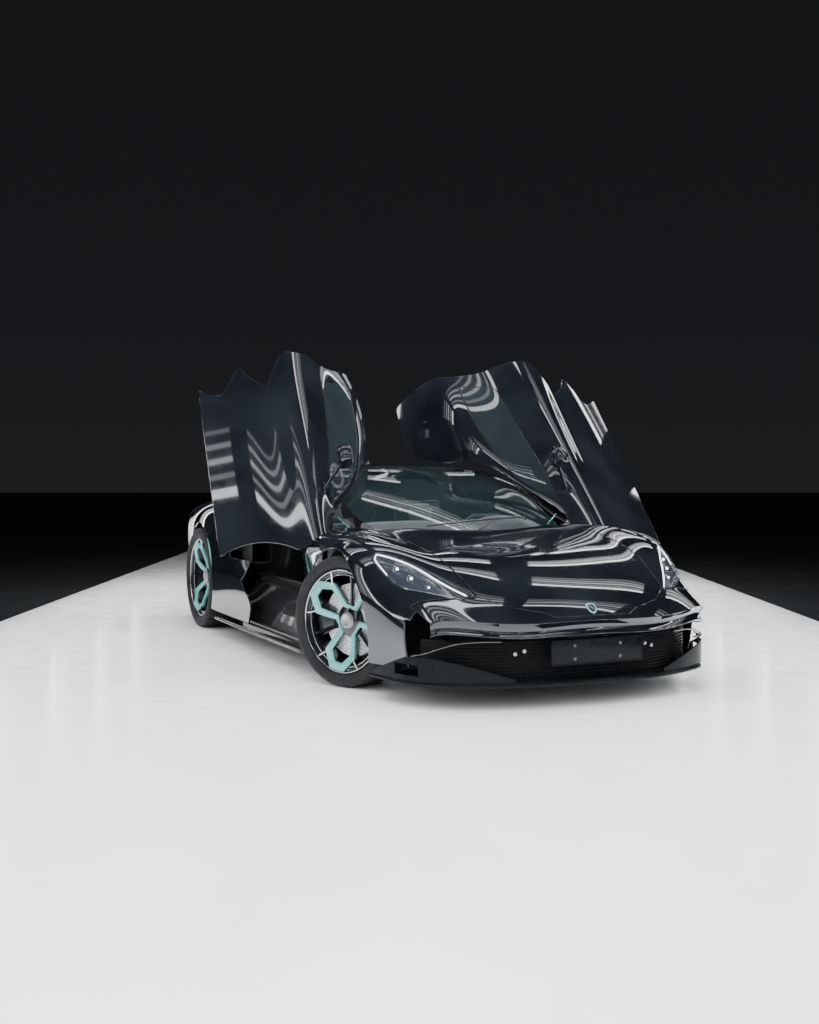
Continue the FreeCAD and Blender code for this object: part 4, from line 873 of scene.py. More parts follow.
pillar = skin(CABIN_NET, rows(CABIN_NET, -1010, 120, 2.0, 0.05), arange(0.5, 4.0, 0.06),
              [lambda q: cowl(q) - GAP / 2, lambda q: door_front(q[:, 4]) - q[:, 1] - 15.0,
               lambda q: PILLAR + GAP - (door_front(q[:, 4]) - q[:, 1]), lambda q: roof_front(q) - 3.0], 18.0)
pillar2 = mirror(pillar)
k = len(pillar[0])
piece("pillar_panels", (np.vstack([pillar[0], pillar2[0]]), pillar[1] + [[i + k for i in f] for f in pillar2[1]],
                        np.vstack([pillar[2], pillar2[2]]), pillar[3] + pillar2[3]), [PAINT, TRIM], stands_for="pillars")


# ---------------------------------------------------------------- headlights
def sunk_skin(net, us, vs, keeps, depth, thick):
    """Closed thin sheet that lies depth(q) under the body surface."""
    q, t = grid(net, us, vs)
    for k in keeps:
        q, t = clip(q, t, k, net)
    n = normals(q, net)
    d = depth(q)[:, None]
    count = len(q)
    pts = np.vstack([q[:, :3] - n * d, q[:, :3] - n * (d + thick)])
    directed = np.concatenate([t[:, [0, 1]], t[:, [1, 2]], t[:, [2, 0]]])
    rim = directed[~np.isin(directed[:, 0] * count + directed[:, 1], directed[:, 1] * count + directed[:, 0])]
    faces = [list(x) for x in t] + [list(x) for x in t[:, ::-1] + count] + [[b, a, a + count, b + count] for a, b in rim]
    return pts, faces, None, [0] * len(faces)


def lamp_line(a, b, inset, sink, steps=40):
    """Line under the lens that follows the lamp's outline from point a to point b of its loop, inset inward."""
    per = len(LAMP_LOOP) / len(LAMP)
    s = np.linspace(a, b, steps) * per
    i = np.floor(s).astype(int)
    f = (s - i)[:, None]
    n = len(LAMP_LOOP)
    p = LAMP_LOOP[i % n] * (1 - f) + LAMP_LOOP[(i + 1) % n] * f
    d = unit(np.gradient(p, axis=0))
    area2 = np.sum(LAMP_LOOP[:, 0] * np.roll(LAMP_LOOP[:, 1], -1) - np.roll(LAMP_LOOP[:, 0], -1) * LAMP_LOOP[:, 1])
    inward = np.stack([-d[:, 1], d[:, 0]], 1) * (1 if area2 > 0 else -1)
    k = np.minimum(np.linspace(0, 1, steps), np.linspace(1, 0, steps)) * 8
    p = p + inward * inset
    for _ in range(3):
        p[1:-1] = (p[:-2] + p[1:-1] * 2 + p[2:]) / 4
    u, v = p[:, 0] / 200.0, p[:, 1] / 130.0
    return FRONT_NET.at(u, v) - FRONT_NET.normal(u, v) * sink


lamp_us, lamp_vs = arange(1.40, 3.95, 0.04), arange(2.0, 4.35, 0.05)
q, t = grid(FRONT_NET, lamp_us, lamp_vs)
q, t = clip(q, t, lambda q: in_lamp(q) - 2.0, FRONT_NET)
both_sides("headlight_lens", shell(q, t, FRONT_NET, 3.0, 0.8), LENS)
bowl = sunk_skin(FRONT_NET, lamp_us, lamp_vs, [lambda q: in_lamp(q) - 1.0],
                 lambda q: np.clip(5.0 + (in_lamp(q) - 1.0) * 2.0, 5.0, 40.0), 3.0)
bowl2 = mirror(bowl)
lens_names = ("headlight_lens_left", "headlight_lens_right")
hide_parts("headlights")
piece("headlight_bowl_pair", join(bowl, bowl2), BOWL, stands_for="headlight_bowls")
light = [tube(lamp_line(0.35, 6.0, 9.0, 9.0, 60), 3.4, 8), tube(lamp_line(6.2, 9.8, 8.0, 11.0), 2.4, 8)]
both_sides("headlight_strip", join(*light), LED)
guides = [tube(lamp_line(1.2, 5.6, 19.0, 17.0, 44), 1.5, 6), tube(lamp_line(1.9, 5.2, 29.0, 24.0, 40), 1.5, 6),
          tube(lamp_line(10.5, 15.6, 10.0, 13.0, 44), 2.6, 8), tube(lamp_line(11.3, 14.8, 19.0, 22.0, 40), 1.5, 6)]
both_sides("headlight_guides", join(*guides), CHROME)
cells, spots = [], []
for u, v in ((2.98, 3.62), (2.55, 3.50), (2.17, 3.20)):
    p, n = FRONT_NET.at([u], [v])[0], FRONT_NET.normal([u], [v])[0]
    f = unit(np.array([0.12, -0.93, 0.34]))
    c = p - n * 30.0
    r = 17.0 if u > 2.3 else 13.0
    cells.append(disc_at(c - f * 10, f, r + 4.0, 12.0, 28, 0, 1.5))
    cells.append(disc_at(c, f, r, 5.0, 28, 1, 3.0))
    spots.append(disc_at(c + f * 7.0, f, r * 0.42, 3.0, 20, 0, 1.2))
both_sides("headlight_units", join(*cells), [CHROME, BOWL])
both_sides("headlight_spots", join(*spots), LED_SPOT)

# ---------------------------------------------------------------- nose
NOSTRIL = [(500, -2308, 338), (590, -2270, 337), (682, -2222, 328), (760, -2172, 304), (815, -2125, 278), (858, -2040, 256)]
FIN = [(430, -2318, 150), (520, -2292, 178), (620, -2252, 208), (740, -2184, 238), (815, -2118, 250), (866, -2030, 246),
       (893, -1950, 222), (915, -1850, 188), (932, -1745, 150)]


def spline(points, n):
    """Catmull-Rom line through open points."""
    p = np.array(points, float)
    p = np.vstack([2 * p[0] - p[1], p, 2 * p[-1] - p[-2]])
    out = []
    for i in range(1, len(p) - 2):
        a, b, c, d = p[i - 1], p[i], p[i + 1], p[i + 2]
        for k in range(n):
            t = k / n
            out.append(0.5 * (2 * b + (c - a) * t + (2 * a - 5 * b + 4 * c - d) * t * t + (3 * b - a - 3 * c + d) * t ** 3))
    out.append(p[-2])
    return np.array(out)


def inward_of(path):
    d = np.gradient(path[:, :2], axis=0)
    d = d / np.linalg.norm(d, axis=1, keepdims=True)
    return np.stack([-d[:, 1], d[:, 0], np.zeros(len(d))], 1)


path = spline(NOSTRIL, 6)
inn = inward_of(path)
sections = []
for p, i in zip(path, inn):
    sections.append([p + i * a + (0, 0, b) for a, b in ((0, -4), (1.2, -0.8), (5, 0), (30, -1), (33.5, -3.5), (33.5, -6.5), (30, -8.6), (5, -9), (1.2, -7.6))])
both_sides("nostril_blade", loft(sections), PAINT)
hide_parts("nostril_blades")
path = spline(FIN, 8)
inn = inward_of(path)


def fin_band(low, top, part):
    secs = []
    for p, i in part:
        lo, hi = low(p), top(p)
        secs.append([(p[0], p[1], lo), (p[0], p[1], hi - 2), (p[0] + i[0] * 2, p[1] + i[1] * 2, hi), (p[0] + i[0] * 6, p[1] + i[1] * 6, hi),
                     (p[0] + i[0] * 8, p[1] + i[1] * 8, hi - 2), (p[0] + i[0] * 8, p[1] + i[1] * 8, lo)])
    return loft(secs)


rows_ = list(zip(path, inn))
HOLE_A, HOLE_B = -2088.0, -1942.0


def cut_at(y):
    k = int(np.argmin(np.abs(path[:, 1] - y)))
    return k


ka, kb = cut_at(HOLE_A), cut_at(HOLE_B)
parts = [fin_band(lambda p: GROUND + 20.3, lambda p: p[2], rows_[:ka + 1]), fin_band(lambda p: GROUND + 20.3, lambda p: p[2], rows_[kb:]),
         fin_band(lambda p: GROUND + 20.3, lambda p: 158.0, rows_[ka:kb + 1]), fin_band(lambda p: 212.0, lambda p: p[2], rows_[ka:kb + 1])]
both_sides("splitter_fin", join(*parts), SATIN, sharp=40)
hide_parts("splitter_fins")
lip = [(x, nose_y(x) - 5.0) for x in np.linspace(0, 760, 20)] + [(812, -2112), (850, -2060), (884, -1990), (908, -1910), (928, -1810), (940, -1722), (932, -1714)] + [(600, -1712), (600, -1600), (0, -1600)]
plan = np.array(lip + [(-x, y) for x, y in lip[::-1][1:-1]], float)
centre = np.array([0, -1900.0])


def inset(plan, d):
    """Outline moved inward by d."""
    a, b, c = np.roll(plan, 1, 0), plan, np.roll(plan, -1, 0)
    e, f = unit(b - a), unit(c - b)
    n = unit(np.stack([-(e + f)[:, 1], (e + f)[:, 0]], 1))
    area2 = np.sum(plan[:, 0] * np.roll(plan[:, 1], -1) - np.roll(plan[:, 0], -1) * plan[:, 1])
    return plan + n * d * (1 if area2 > 0 else -1)


secs = [[(x, y, z) for x, y in inset(plan, d)] for z, d in ((GROUND, 4), (GROUND + 2, 1), (GROUND + 7, 0), (GROUND + 14, 0.6), (GROUND + 18.5, 3), (GROUND + 20, 7))]
piece("splitter_blade", loft(secs), SATIN, stands_for="splitter")
# grille: a dark backing sheet of painted shade, standing for the depth of the intake, with slats in front, and blank
# plate
front = [(x, nose_y(x) + 95.0) for x in np.linspace(0, 600, 14)] + [(700, -2100), (780, -2000)]
back = [(x, y + 8.0) for x, y in front[::-1]]
plan = front + back
plan = plan + [(-x, y) for x, y in back[::-1][1:]] + [(-x, y) for x, y in front[::-1][:-1]]
grille = loft([[(x, y, z) for x, y in plan] for z in (GROUND + 22.0, 326.0)])
slats = []
arc = np.array([(-x, y) for x, y in front[::-1]] + front[1:], float)
arc = np.array([a for a in arc if abs(a[0]) < 720])
for z in np.arange(150, 322, 15.5):
    line = [(x, y - 4.0, z) for x, y in arc]
    slats.append(tube(line, 3.2, 6, 1))
for s in np.arange(-0.985, 0.99, 0.041):
    k = (s + 1) / 2 * (len(arc) - 1)
    i = min(int(k), len(arc) - 2)
    x, y = arc[i] * (1 - k + i) + arc[i + 1] * (k - i)
    slats.append(tube([(x, y - 5.0, GROUND + 24.0), (x, y - 5.0, 322.0)], 2.4, 6, 1))
piece("grille_mesh", join(grille, *slats), [SHADE_SHEET, SATIN], stands_for="front_intake")
outline = rounded([(-262, 212), (262, 212), (262, 331), (-262, 331)], 12, 5)


def flat(outline, y):
    return [(x, y, z) for x, z in outline]


def shrink(outline, d):
    c = outline.mean(0)
    s = np.sign(outline - c)
    return outline - s * d


plate = [loft([flat(shrink(outline, 1.2), -2372.4), flat(outline, -2371.4), flat(outline, -2367.5), flat(shrink(outline, 1.2), -2366.2)])]
rim_ = shrink(outline, 5.0)
plate.append(tube([(x, -2372.6, z) for x, z in rim_], 1.6, 6, 0, True, 1.0, (0, 1, 0)))
for x in (-60, 60):
    plate.append(block((x - 11, -2366.5, 262), (x + 11, -2262, 281), 0))
for x in (-130, 130):
    for z in (239.5, 303.5):
        plate.append(disc_at((x, -2371.4, z), (0, -1, 0), 8.0, 1.4, 20, 1, 0.8))
        # the dark hexagon on each bolt head is painted shade standing in for its socket
        plate.append(disc_at((x, -2373.2, z), (0, -1, 0), 3.4, 0.5, 6, 2, 0.1))
piece("plate_panel", join(*plate), [SATIN, STEEL, DARK], stands_for="number_plate")
sensors = []
for x, z in ((-395, 262), (-350, 275), (395, 262), (350, 275)):
    y = nose_y(abs(x)) + 84.0
    sensors.append(disc_at((x, y, z), (x / 1800.0, -1, 0), 10.0, 6.0, 20, 0, 1.0))
piece("park_sensors", join(*sensors), ALLOY)
# bare badge plate in the middle of the bonnet's tip
u, w = 0.62, 26.0
p0, n0 = FRONT_NET.at([u], [0.0])[0], FRONT_NET.normal([u], [0.0])[0]
up = unit(np.cross((1.0, 0, 0), n0))
up = up if up[2] > 0 else -up
shield = [(-25, 26), (0, 30), (25, 26), (26, 0), (17, -22), (0, -36), (-17, -22), (-26, 0)]
shield = smooth_loop(shield, sharp=(0, 2, 5), steps=5)


def on_nose(a, b, h):
    return [p0 + np.array((1.0, 0, 0)) * x * a + up * z * b + n0 * h for x, z in shield]


piece("badge_plate", loft([on_nose(1, 1, -4.0), on_nose(1, 1, 1.6), on_nose(0.95, 0.95, 2.4)]), AQUA)
piece("badge_field", loft([on_nose(0.74, 0.74, 1.0), on_nose(0.74, 0.74, 2.8), on_nose(0.70, 0.70, 3.1)]), TRIM_GLOSS)


# ---------------------------------------------------------------- wheels, in the wheel's frame: +X outboard
def at_wheel(side, rear):
    def f(mesh):
        m = mesh if side > 0 else mirror(mesh)
        if rear:
            return moved(m, (side * REAR_TRACK_HALF, REAR_AXLE_Y, REAR_TYRE_R))
        m = moved(m, (side * KINGPIN_IN, 0, 0))
        return moved(m, (side * (FRONT_TRACK_HALF - KINGPIN_IN), FRONT_AXLE_Y, FRONT_TYRE_R), spin_matrix("Z", STEER_DEG))
    return f


def ribbon(points, widths, section, flag_of):
    """Closed flat ribbon with mitred corners through (y, z, x) points; section is (share across, depth)."""
    p = np.array(points, float)
    a, b, c = np.roll(p, 1, 0)[:, :2], p[:, :2], np.roll(p, -1, 0)[:, :2]
    e, f = unit(b - a), unit(c - b)
    n = unit(np.stack([(e + f)[:, 1], -(e + f)[:, 0]], 1))
    m = 1 / np.clip(np.abs(np.sum(n * np.stack([e[:, 1], -e[:, 0]], 1), 1)), 0.55, 1)
    pts, k = [], len(section)
    for i in range(len(p)):
        for s, d in section:
            off = n[i] * m[i] * (s[0] * widths[i] / 2 + s[1])
            pts.append((p[i, 2] + d, b[i, 0] + off[0], b[i, 1] + off[1]))
    faces, flags = [], []
    for i in range(len(p)):
        j = (i + 1) % len(p)
        for s in range(k):
            l = (s + 1) % k
            faces.append([i * k + s, i * k + l, j * k + l, j * k + s])
            flags.append(flag_of(s))
    return outward((np.array(pts), faces, None, flags))


def build_wheel(rim_r, tyre_r, half_w, turn_deg):
    face, R_ = half_w - 18.0, rim_r
    i = R_ - 22.0
    out = {}
    barrel = lathe([(face - 2, R_ - 1), (face - 11, R_ - 2), (face - 15, i + 2), (face - 60, i), (-face, i), (-face - 4, R_ - 4), (-face - 16, R_ - 4),
                    (-face - 16, R_ - 13), (-face - 8, i - 7), (face - 60, i - 7), (face - 26, i - 7), (face - 18, R_ - 15), (face - 6, R_ - 11), (face - 1, R_ - 7)], 96)
    hub = lathe([(-8, 31), (-8, 62), (20, 66), (36, 84), (face - 74, 92), (face - 62, 84), (face - 52, 58), (face - 50, 31)], 48)
    out["barrel"] = (join(barrel, hub), RIM_BLACK)
    lip = lathe([(face - 4, R_ - 1.5), (face + 0.5, R_ - 3.0), (face + 1.2, R_ - 5.2), (face - 0.5, R_ - 7.5), (face - 6, R_ - 9.0)], 120)
    inner = lathe([(face - 26, i - 9), (face - 24, i - 7.5), (face - 20, i - 7.5), (face - 20, i - 10)], 96)
    path, widths, low = [], [], []
    for k in range(3):
        c = turn_deg + 120 * k
        for deg, share, w, x in ((-57, .245, 27, -56), (-32, .29, 28, -54), (-28.5, .50, 32, -34), (-26.5, .71, 37, -16), (-8.5, .905, 44, -4),
                                 (8.5, .905, 44, -4), (26.5, .71, 37, -16), (28.5, .50, 32, -34), (32, .29, 28, -54)):
            a = math.radians(c + deg)
            path.append((R_ * share * math.cos(a), R_ * share * math.sin(a), face + x))
            widths.append(w)
    band = ribbon(path, widths, [((1, 0), -1.5), ((1, -1.5), 0), ((-1, 9), 0), ((-1, 0), -8.5), ((-1, 2), -20), ((1, -2), -20)], lambda s: 0)
    out["ribbon"] = (band, AQUA)
    under = ribbon([(a, b, x - 18.0) for a, b, x in path], [w + 6 for w in widths], [((1, 0), 0), ((-1, 0), 0), ((-1, 5), -26), ((1, -5), -26)], lambda s: 0)
    rods = []
    for k in range(3):
        c = turn_deg + 120 * k
        for s in (-1, 1):
            a0, a1 = math.radians(c + s * 27), math.radians(c + s * 33)
            p0_, p1_ = (face - 17, R_ * .74 * math.cos(a0), R_ * .74 * math.sin(a0)), (face - 7, (R_ - 8) * math.cos(a1), (R_ - 8) * math.sin(a1))
            rods.append(tube([p0_, p1_], [5.4, 5.4], 4, 0, False, 0.8, (1, 0, 0)))
        # dark arm that carries the lobe
        a = math.radians(c + 60)
        arm = []
        for share, w, x in ((.20, 34, -66), (.45, 22, -62), (.75, 17, -48), (.97, 24, -32)):
            o = np.array((math.cos(a), math.sin(a))) * R_ * share
            s_ = np.array((-math.sin(a), math.cos(a))) * w / 2
            arm.append([(face + x, *(o + s_)), (face + x + 8, *(o + s_ * 0.5)), (face + x + 8, *(o - s_ * 0.5)), (face + x, *(o - s_)), (face + x - 16, *(o - s_ * 0.7)), (face + x - 16, *(o + s_ * 0.7))])
        under = join(under, loft(arm))
    out["arms"] = (under, RIM_BLACK)
    out["bright"] = (join(lip, inner, *rods), RIM_CUT)
    nut = lathe([(face - 62, 31), (face - 62, 45), (face - 44, 46), (face - 40, 42), (face - 36, 40), (face - 34, 34), (face - 36, 26), (face - 40, 12), (face - 40, 0.01), (face - 62, 0.01)], 12)
    out["nut"] = (nut, NUT)
    disc = [lathe([(0, 92), (0, DISC_R - 2), (1.5, DISC_R), (12, DISC_R), (13, DISC_R - 4), (13, 150), (19, 150), (19, DISC_R - 4), (20, DISC_R), (DISC_THICK - 1.5, DISC_R), (DISC_THICK, DISC_R - 2), (DISC_THICK, 104), (DISC_THICK + 9, 98), (DISC_THICK + 9, 60), (DISC_THICK + 2, 60), (DISC_THICK + 2, 92)], 96)]
    # dark dots on the disc face are painted shade standing in for the drilled holes
    hole_shade_dots = []
    for k in range(30):
        for j, r in enumerate((122, 142, 162, 181)):
            a = math.radians(12 * k + j * 3.4)
            hole_shade_dots.append(disc_at((DISC_THICK - 0.6, r * math.cos(a), r * math.sin(a)), (1, 0, 0), 4.0, 0.9, 8, 1))
    out["disc"] = (join(*disc, *hole_shade_dots), [DISC, DARK])
    t, F = half_w, R_
    prof = [(face - 17, F - 21), (face - 14, F - 3), (face - 9, F + 3), (t - 16, F + 8), (t - 9, F + 13), (t - 3, F + 22), (t - 0.5, F + 30), (t - 1.0, F + 32), (t, F + 36), (t - 0.5, F + 45),
            (t - 2.0, tyre_r - 27), (t - 4.0, tyre_r - 21), (t - 9, tyre_r - 12), (t - 15, tyre_r - 6.5), (t - 23, tyre_r - 3.4), (t - 32, tyre_r - 1.6)]
    grooves = []
    half = t - 32
    for g in (0.68, 0.24):
        x = half * g
        grooves += [(x + 6.5, tyre_r - 0.6), (x + 5.5, tyre_r - 7.5), (x - 5.5, tyre_r - 7.5), (x - 6.5, tyre_r - 0.4)]
    right = prof + grooves
    full_ = right + [(-x, r) for x, r in right[::-1]]
    p = np.array(full_, float)
    N = 216
    ang = np.linspace(0, 2 * math.pi, N, endpoint=False)
    rr = np.repeat(p[None, :, 1], N, 0)
    slot = (np.arange(N) % 6 == 0)
    shoulder = (np.abs(p[:, 0]) > half * 0.80) & (p[:, 1] > tyre_r - 16)
    rr = rr - np.outer(slot, shoulder) * 4.2
    mid = (np.abs(p[:, 0]) < half * 0.62) & (p[:, 1] > tyre_r - 3)
    rr = rr - np.outer(np.arange(N) % 8 == 3, mid) * 3.2
    pts = np.stack([np.repeat(p[None, :, 0], N, 0), rr * np.cos(ang)[:, None], rr * np.sin(ang)[:, None]], 2).reshape(-1, 3)
    m, faces = len(p), []
    for a_ in range(N):
        b_ = (a_ + 1) % N
        for k in range(m):
            l = (k + 1) % m
            faces.append([a_ * m + k, b_ * m + k, b_ * m + l, a_ * m + l])
    out["tyre"] = (outward((pts, faces, None, [0] * len(faces))), RUBBER)
    out["valve"] = (join(tube([(face - 22, (i - 8) * math.cos(1.2), (i - 8) * math.sin(1.2)), (face - 14, (i - 34) * math.cos(1.2), (i - 34) * math.sin(1.2))], 3.6, 8)), STEEL)
    return out


for rear, sizes in ((False, (FRONT_RIM_R, FRONT_TYRE_R, FRONT_TYRE_HALF, 39.0)), (True, (REAR_RIM_R, REAR_TYRE_R, REAR_TYRE_HALF, 60.0))):
    made = build_wheel(*sizes)
    for side, word in ((1, "left"), (-1, "right")):
        put, end = at_wheel(side, rear), ("rear_" if rear else "front_") + word
        for key, (mesh, mats) in made.items():
            o = piece("wheel_" + key + "_" + end, put(mesh), mats, "wheel_" + end, sharp=28 if key in ("ribbon", "arms", "bright") else 32)
            if key == "tyre":
                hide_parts("tyre_" + end)
            elif key == "barrel":
                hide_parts("rim_" + end)


# ---------------------------------------------------------------- cabin
def inflate(o, voxel=0.006, pressure=4.0, cap=0.022, steps=20):
    """Fills a cushion: fine grain, then cloth pressed outward from inside, with its travel limited."""
    scene = bpy.context.scene
    m = o.modifiers.new("grain", "REMESH")
    m.mode, m.voxel_size, m.use_smooth_shade = "VOXEL", voxel, True
    dg = bpy.context.evaluated_depsgraph_get()
    me = bpy.data.meshes.new_from_object(o.evaluated_get(dg))
    o.modifiers.clear()
    mats = [s.material for s in o.material_slots]
    o.data = me
    start = np.zeros(len(me.vertices) * 3, np.float32)
    me.vertices.foreach_get("co", start)
    start = start.reshape(-1, 3)
    c = o.modifiers.new("filling", "CLOTH")
    s = c.settings
    s.quality, s.mass = 4, 0.25
    s.tension_stiffness = s.compression_stiffness = 12.0
    s.shear_stiffness, s.bending_stiffness = 5.0, 0.4
    s.use_pressure, s.uniform_pressure_force = True, pressure
    s.effector_weights.gravity = 0.0
    c.collision_settings.use_collision = False
    c.point_cache.frame_start, c.point_cache.frame_end = 1, steps
    for f in range(1, steps + 1):
        scene.frame_set(f)
    dg = bpy.context.evaluated_depsgraph_get()
    end = bpy.data.meshes.new_from_object(o.evaluated_get(dg))
    co = np.zeros(len(end.vertices) * 3, np.float32)
    end.vertices.foreach_get("co", co)
    d = co.reshape(-1, 3) - start
    d[~np.isfinite(d).all(1)] = 0
    n = np.linalg.norm(d, axis=1, keepdims=True)
    d *= np.minimum(1.0, cap / np.maximum(n, 1e-9))
    o.modifiers.clear()
    me.vertices.foreach_set("co", (start + d).ravel())
    me.update()
    scene.frame_set(1)
    return mats


def along_back(s, w=0.0):
    """Point of the backrest's front face at share s of its height, w out of it."""
    a, b = np.array((232.0, 330.0)), np.array((468.0, 905.0))
    d = (b - a) / np.linalg.norm(b - a)
    n = np.array((-d[1], d[0]))
    bow = 14.0 * math.sin(math.pi * min(max(s, 0), 1))
    return a + (b - a) * s + n * (w - bow)


CX = 337.0
back_n = np.array((-575.0, 236.0)) / np.hypot(575.0, 236.0)


def cushion_sections(points, half, round_=0.35):
    """Sections of a soft block along points of (y, z, thickness, half width, x shift)."""
    out = []
    n = len(points)
    for k, (y, z, ny, nz, th, hw, sx) in enumerate(points):
        f = min(1.0, 0.55 + 0.45 * math.sin(math.pi * (k + 0.5) / n) * 2.2)
        sec = []
        for j in range(16):
            a = 2 * math.pi * (j + 0.5) / 16
            ca, sa = math.copysign(abs(math.cos(a)) ** round_, math.cos(a)), math.copysign(abs(math.sin(a)) ** round_, math.sin(a))
            x = CX + sx + ca * hw * f
            t = sa * th * f
            sec.append((x, y + ny * t, z + nz * t))
        out.append(sec)
    return out


base_pts = [(-168 + 400 * k / 9, 318 - 46 * (k / 9) ** 1.2, 0.10, 0.99, 24, 118, 0) for k in range(10)]
back_pts = []
for k in range(11):
    p = along_back(0.03 + 0.72 * k / 10, 22)
    back_pts.append((p[0], p[1], back_n[0], back_n[1], 22, 112 - 14 * (k / 10), 0))
wing_parts = []
for s in (-1, 1):
    wing_parts.append([(-172 + 395 * k / 9, 332 - 40 * (k / 9), 0.0, 1.0, 34, 30 - 4 * abs(k - 5) / 5, s * 152) for k in range(10)])
    pts_ = []
    for k in range(12):
        p = along_back(0.02 + 0.74 * k / 11, 36)
        w = 30 - 10 * abs(k - 4) / 8
        pts_.append((p[0], p[1], back_n[0], back_n[1], 36 - 10 * k / 11, w, s * (150 - 8 * k / 11)))
    wing_parts.append(pts_)
head_pts = []
for k in range(6):
    p = along_back(0.80 + 0.20 * k / 5, 16)
    head_pts.append((p[0], p[1], back_n[0], back_n[1], 22, 92 - 3 * k, 0))
soft = {"seat_base_pad": ([cushion_sections(base_pts, 1)], HIDE_DOTS), "seat_back_pad": ([cushion_sections(back_pts, 1)], HIDE_DOTS),
        "seat_side_pads": ([cushion_sections(p, 1, 0.6) for p in wing_parts], HIDE), "seat_head_pad": ([cushion_sections(head_pts, 1)], HIDE_DOTS)}
for name, (blocks, mat) in soft.items():
    o = piece(name + "_left", join(*[loft(b) for b in blocks]), mat, sharp=180)
    mats = inflate(o)
    o.data.materials.clear()
    o.data.materials.append(mat)
    o.data.polygons.foreach_set("use_smooth", [True] * len(o.data.polygons))
    me = o.data.copy()
    me.name = name + "_right"
    me.transform(Matrix.Scale(-1, 4, (1, 0, 0)))
    me.flip_normals()
    r = bpy.data.objects.new(name + "_right", me)
    bpy.context.scene.collection.objects.link(r)
    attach(r, "body")
    for e in (o, r):
        if name == "seat_side_pads":
            continue
        b = e.modifiers.new("finer", "SUBSURF")
        b.levels = b.render_levels = 1
outline = rounded([(-186, 195), (-184, 300), (-110, 296), (150, 240), (262, 262), (452, 850), (500, 935), (545, 940), (572, 800), (412, 335), (392, 195)], 40, 6)
shell_parts = []
for x0, x1, shrink_ in ((150, 524, 0.0),):
    secs = []
    for x, s in ((150, 12), (153, 5), (160, 0), (514, 0), (521, 5), (524, 12)):
        secs.append([(x, y, z) for y, z in inset(outline, s)])
    shell_parts.append(loft(secs))
pipes = []
for s in (-1, 1):
    pipes.append(tube([(CX + s * 121, y, z + 27) for y, z in [(-160 + 380 * k / 12, 322 - 44 * (k / 12) ** 1.2) for k in range(13)]], 2.6, 6, 1))
    pipes.append(tube([(CX + s * (118 - 12 * k / 12), *along_back(0.05 + 0.70 * k / 12, 46)) for k in range(13)], 2.6, 6, 1))
pipes.append(tube([(CX + x, *along_back(0.77, 38 - abs(x) / 40)) for x in np.linspace(-92, 92, 12)], 2.4, 6, 2))
pipes.append(tube([(CX + x, *along_back(0.985, 34 - abs(x) / 40)) for x in np.linspace(-70, 70, 12)], 3.4, 6, 2))
for s in (-1, 1):
    pipes.append(block((CX + s * 150 - 22, -150, 158), (CX + s * 150 + 22, 380, 196), 3))
both_sides("seat_shell", join(*shell_parts, *pipes), [CARBON, PIPING, AQUA_SOFT, STEEL])
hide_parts("seats")
# dashboard
prof = np.array(rounded([(-992, 748), (-980, 776), (-900, 800), (-760, 836), (-700, 846), (-645, 842), (-624, 780), (-662, 645), (-780, 622), (-786, 746)], 26, 5))
secs = []
for x in np.linspace(-556, 556, 45):
    hood = math.exp(-((x - 365) / 120.0) ** 4) * 24.0
    dip = math.exp(-(x / 130.0) ** 4) * 10.0
    f = 1 - 0.05 * (abs(x) / 556.0) ** 4
    row = []
    for y, z in prof:
        top = max(0.0, min(1.0, (z - 700.0) / 120.0))
        row.append((x, y - 0.00008 * x * x * top, 735 + (z - 735) * f + top * (hood * (1 if y > -860 else max(0, (y + 960) / 100.0)) - dip)))
    secs.append(row)
dash = loft(secs)
extra = []
scr = rounded([(-120, -38), (120, -38), (120, 38), (-120, 38)], 14, 4)


def panel_on(outline, centre, tilt, thick, flag):
    c, s = math.cos(math.radians(tilt)), math.sin(math.radians(tilt))
    f = [(centre[0] + x, centre[1] - z * s, centre[2] + z * c) for x, z in outline]
    b = [(x, y - thick * c, z - thick * s) for x, y, z in f]
    return loft([b, f], flag)


extra.append(panel_on(scr, (365, -612, 818), 14, 12, 1))
extra.append(panel_on(shrink(scr, 5), (365, -610.5, 818), 14, 3, 2))
mid_scr = rounded([(-88, -115), (88, -115), (88, 95), (-88, 95)], 16, 4)
extra.append(panel_on(mid_scr, (0, -600, 690), 24, 14, 1))
extra.append(panel_on(shrink(mid_scr, 5), (0, -598.5, 690), 24, 3, 2))
extra.append(panel_on(rounded([(-135, -17), (135, -17), (135, 17), (-135, 17)], 8, 3), (-330, -622, 790), 10, 10, 2))
for x in (-505, -150, 150, 520):
    extra.append(panel_on(rounded([(-36, -15), (36, -15), (36, 15), (-36, 15)], 8, 3), (x, -626, 786), 8, 12, 1))
    for z in (-8, 0, 8):
        extra.append(block((x - 30, -628, 785 + z), (x + 30, -622, 787 + z), 3))
seam = []
for k in range(2, 43):
    x = secs[k][0][0]
    p = max(secs[k], key=lambda p: p[2])
    seam.append((x, p[1] + 6, p[2] + 0.4))
extra.append(tube(seam, 1.7, 6, 4))
piece("dash_body", join(dash, *extra), [SUEDE, TRIM_GLOSS, SCREEN, TRIM, PIPING], stands_for="dashboard", sharp=40)
# console
prof = rounded([(-648, 162), (-648, 590), (-560, 596), (-300, 424), (148, 380), (178, 164)], 22, 5)
secs = [[(x, y, z) for y, z in inset(np.array(prof), d)] for x, d in ((-94, 10), (-91, 3), (-84, 0), (84, 0), (91, 3), (94, 10))]
console = [loft(secs)]
console.append(panel_on(rounded([(-62, -120), (62, -120), (62, 120), (-62, 120)], 18, 4), (0, -425, 512), 124, 5, 1))
console.append(disc_at((0, -470, 552), (0, 0.5, 0.86), 26, 22, 32, 2, 3))
for x in (-28, 28):
    console.append(disc_at((x, -395, 498), (0, 0.5, 0.86), 11, 8, 20, 2, 1))
arm_rest = loft([[(x, y, z) for x, z in rounded([(-74, 0), (74, 0), (74, 26), (-74, 26)], 12, 3) + (0, 388 + (150 - y) * 0.08)] for y in np.linspace(-215, 145, 8)], 3)
console.append(arm_rest)
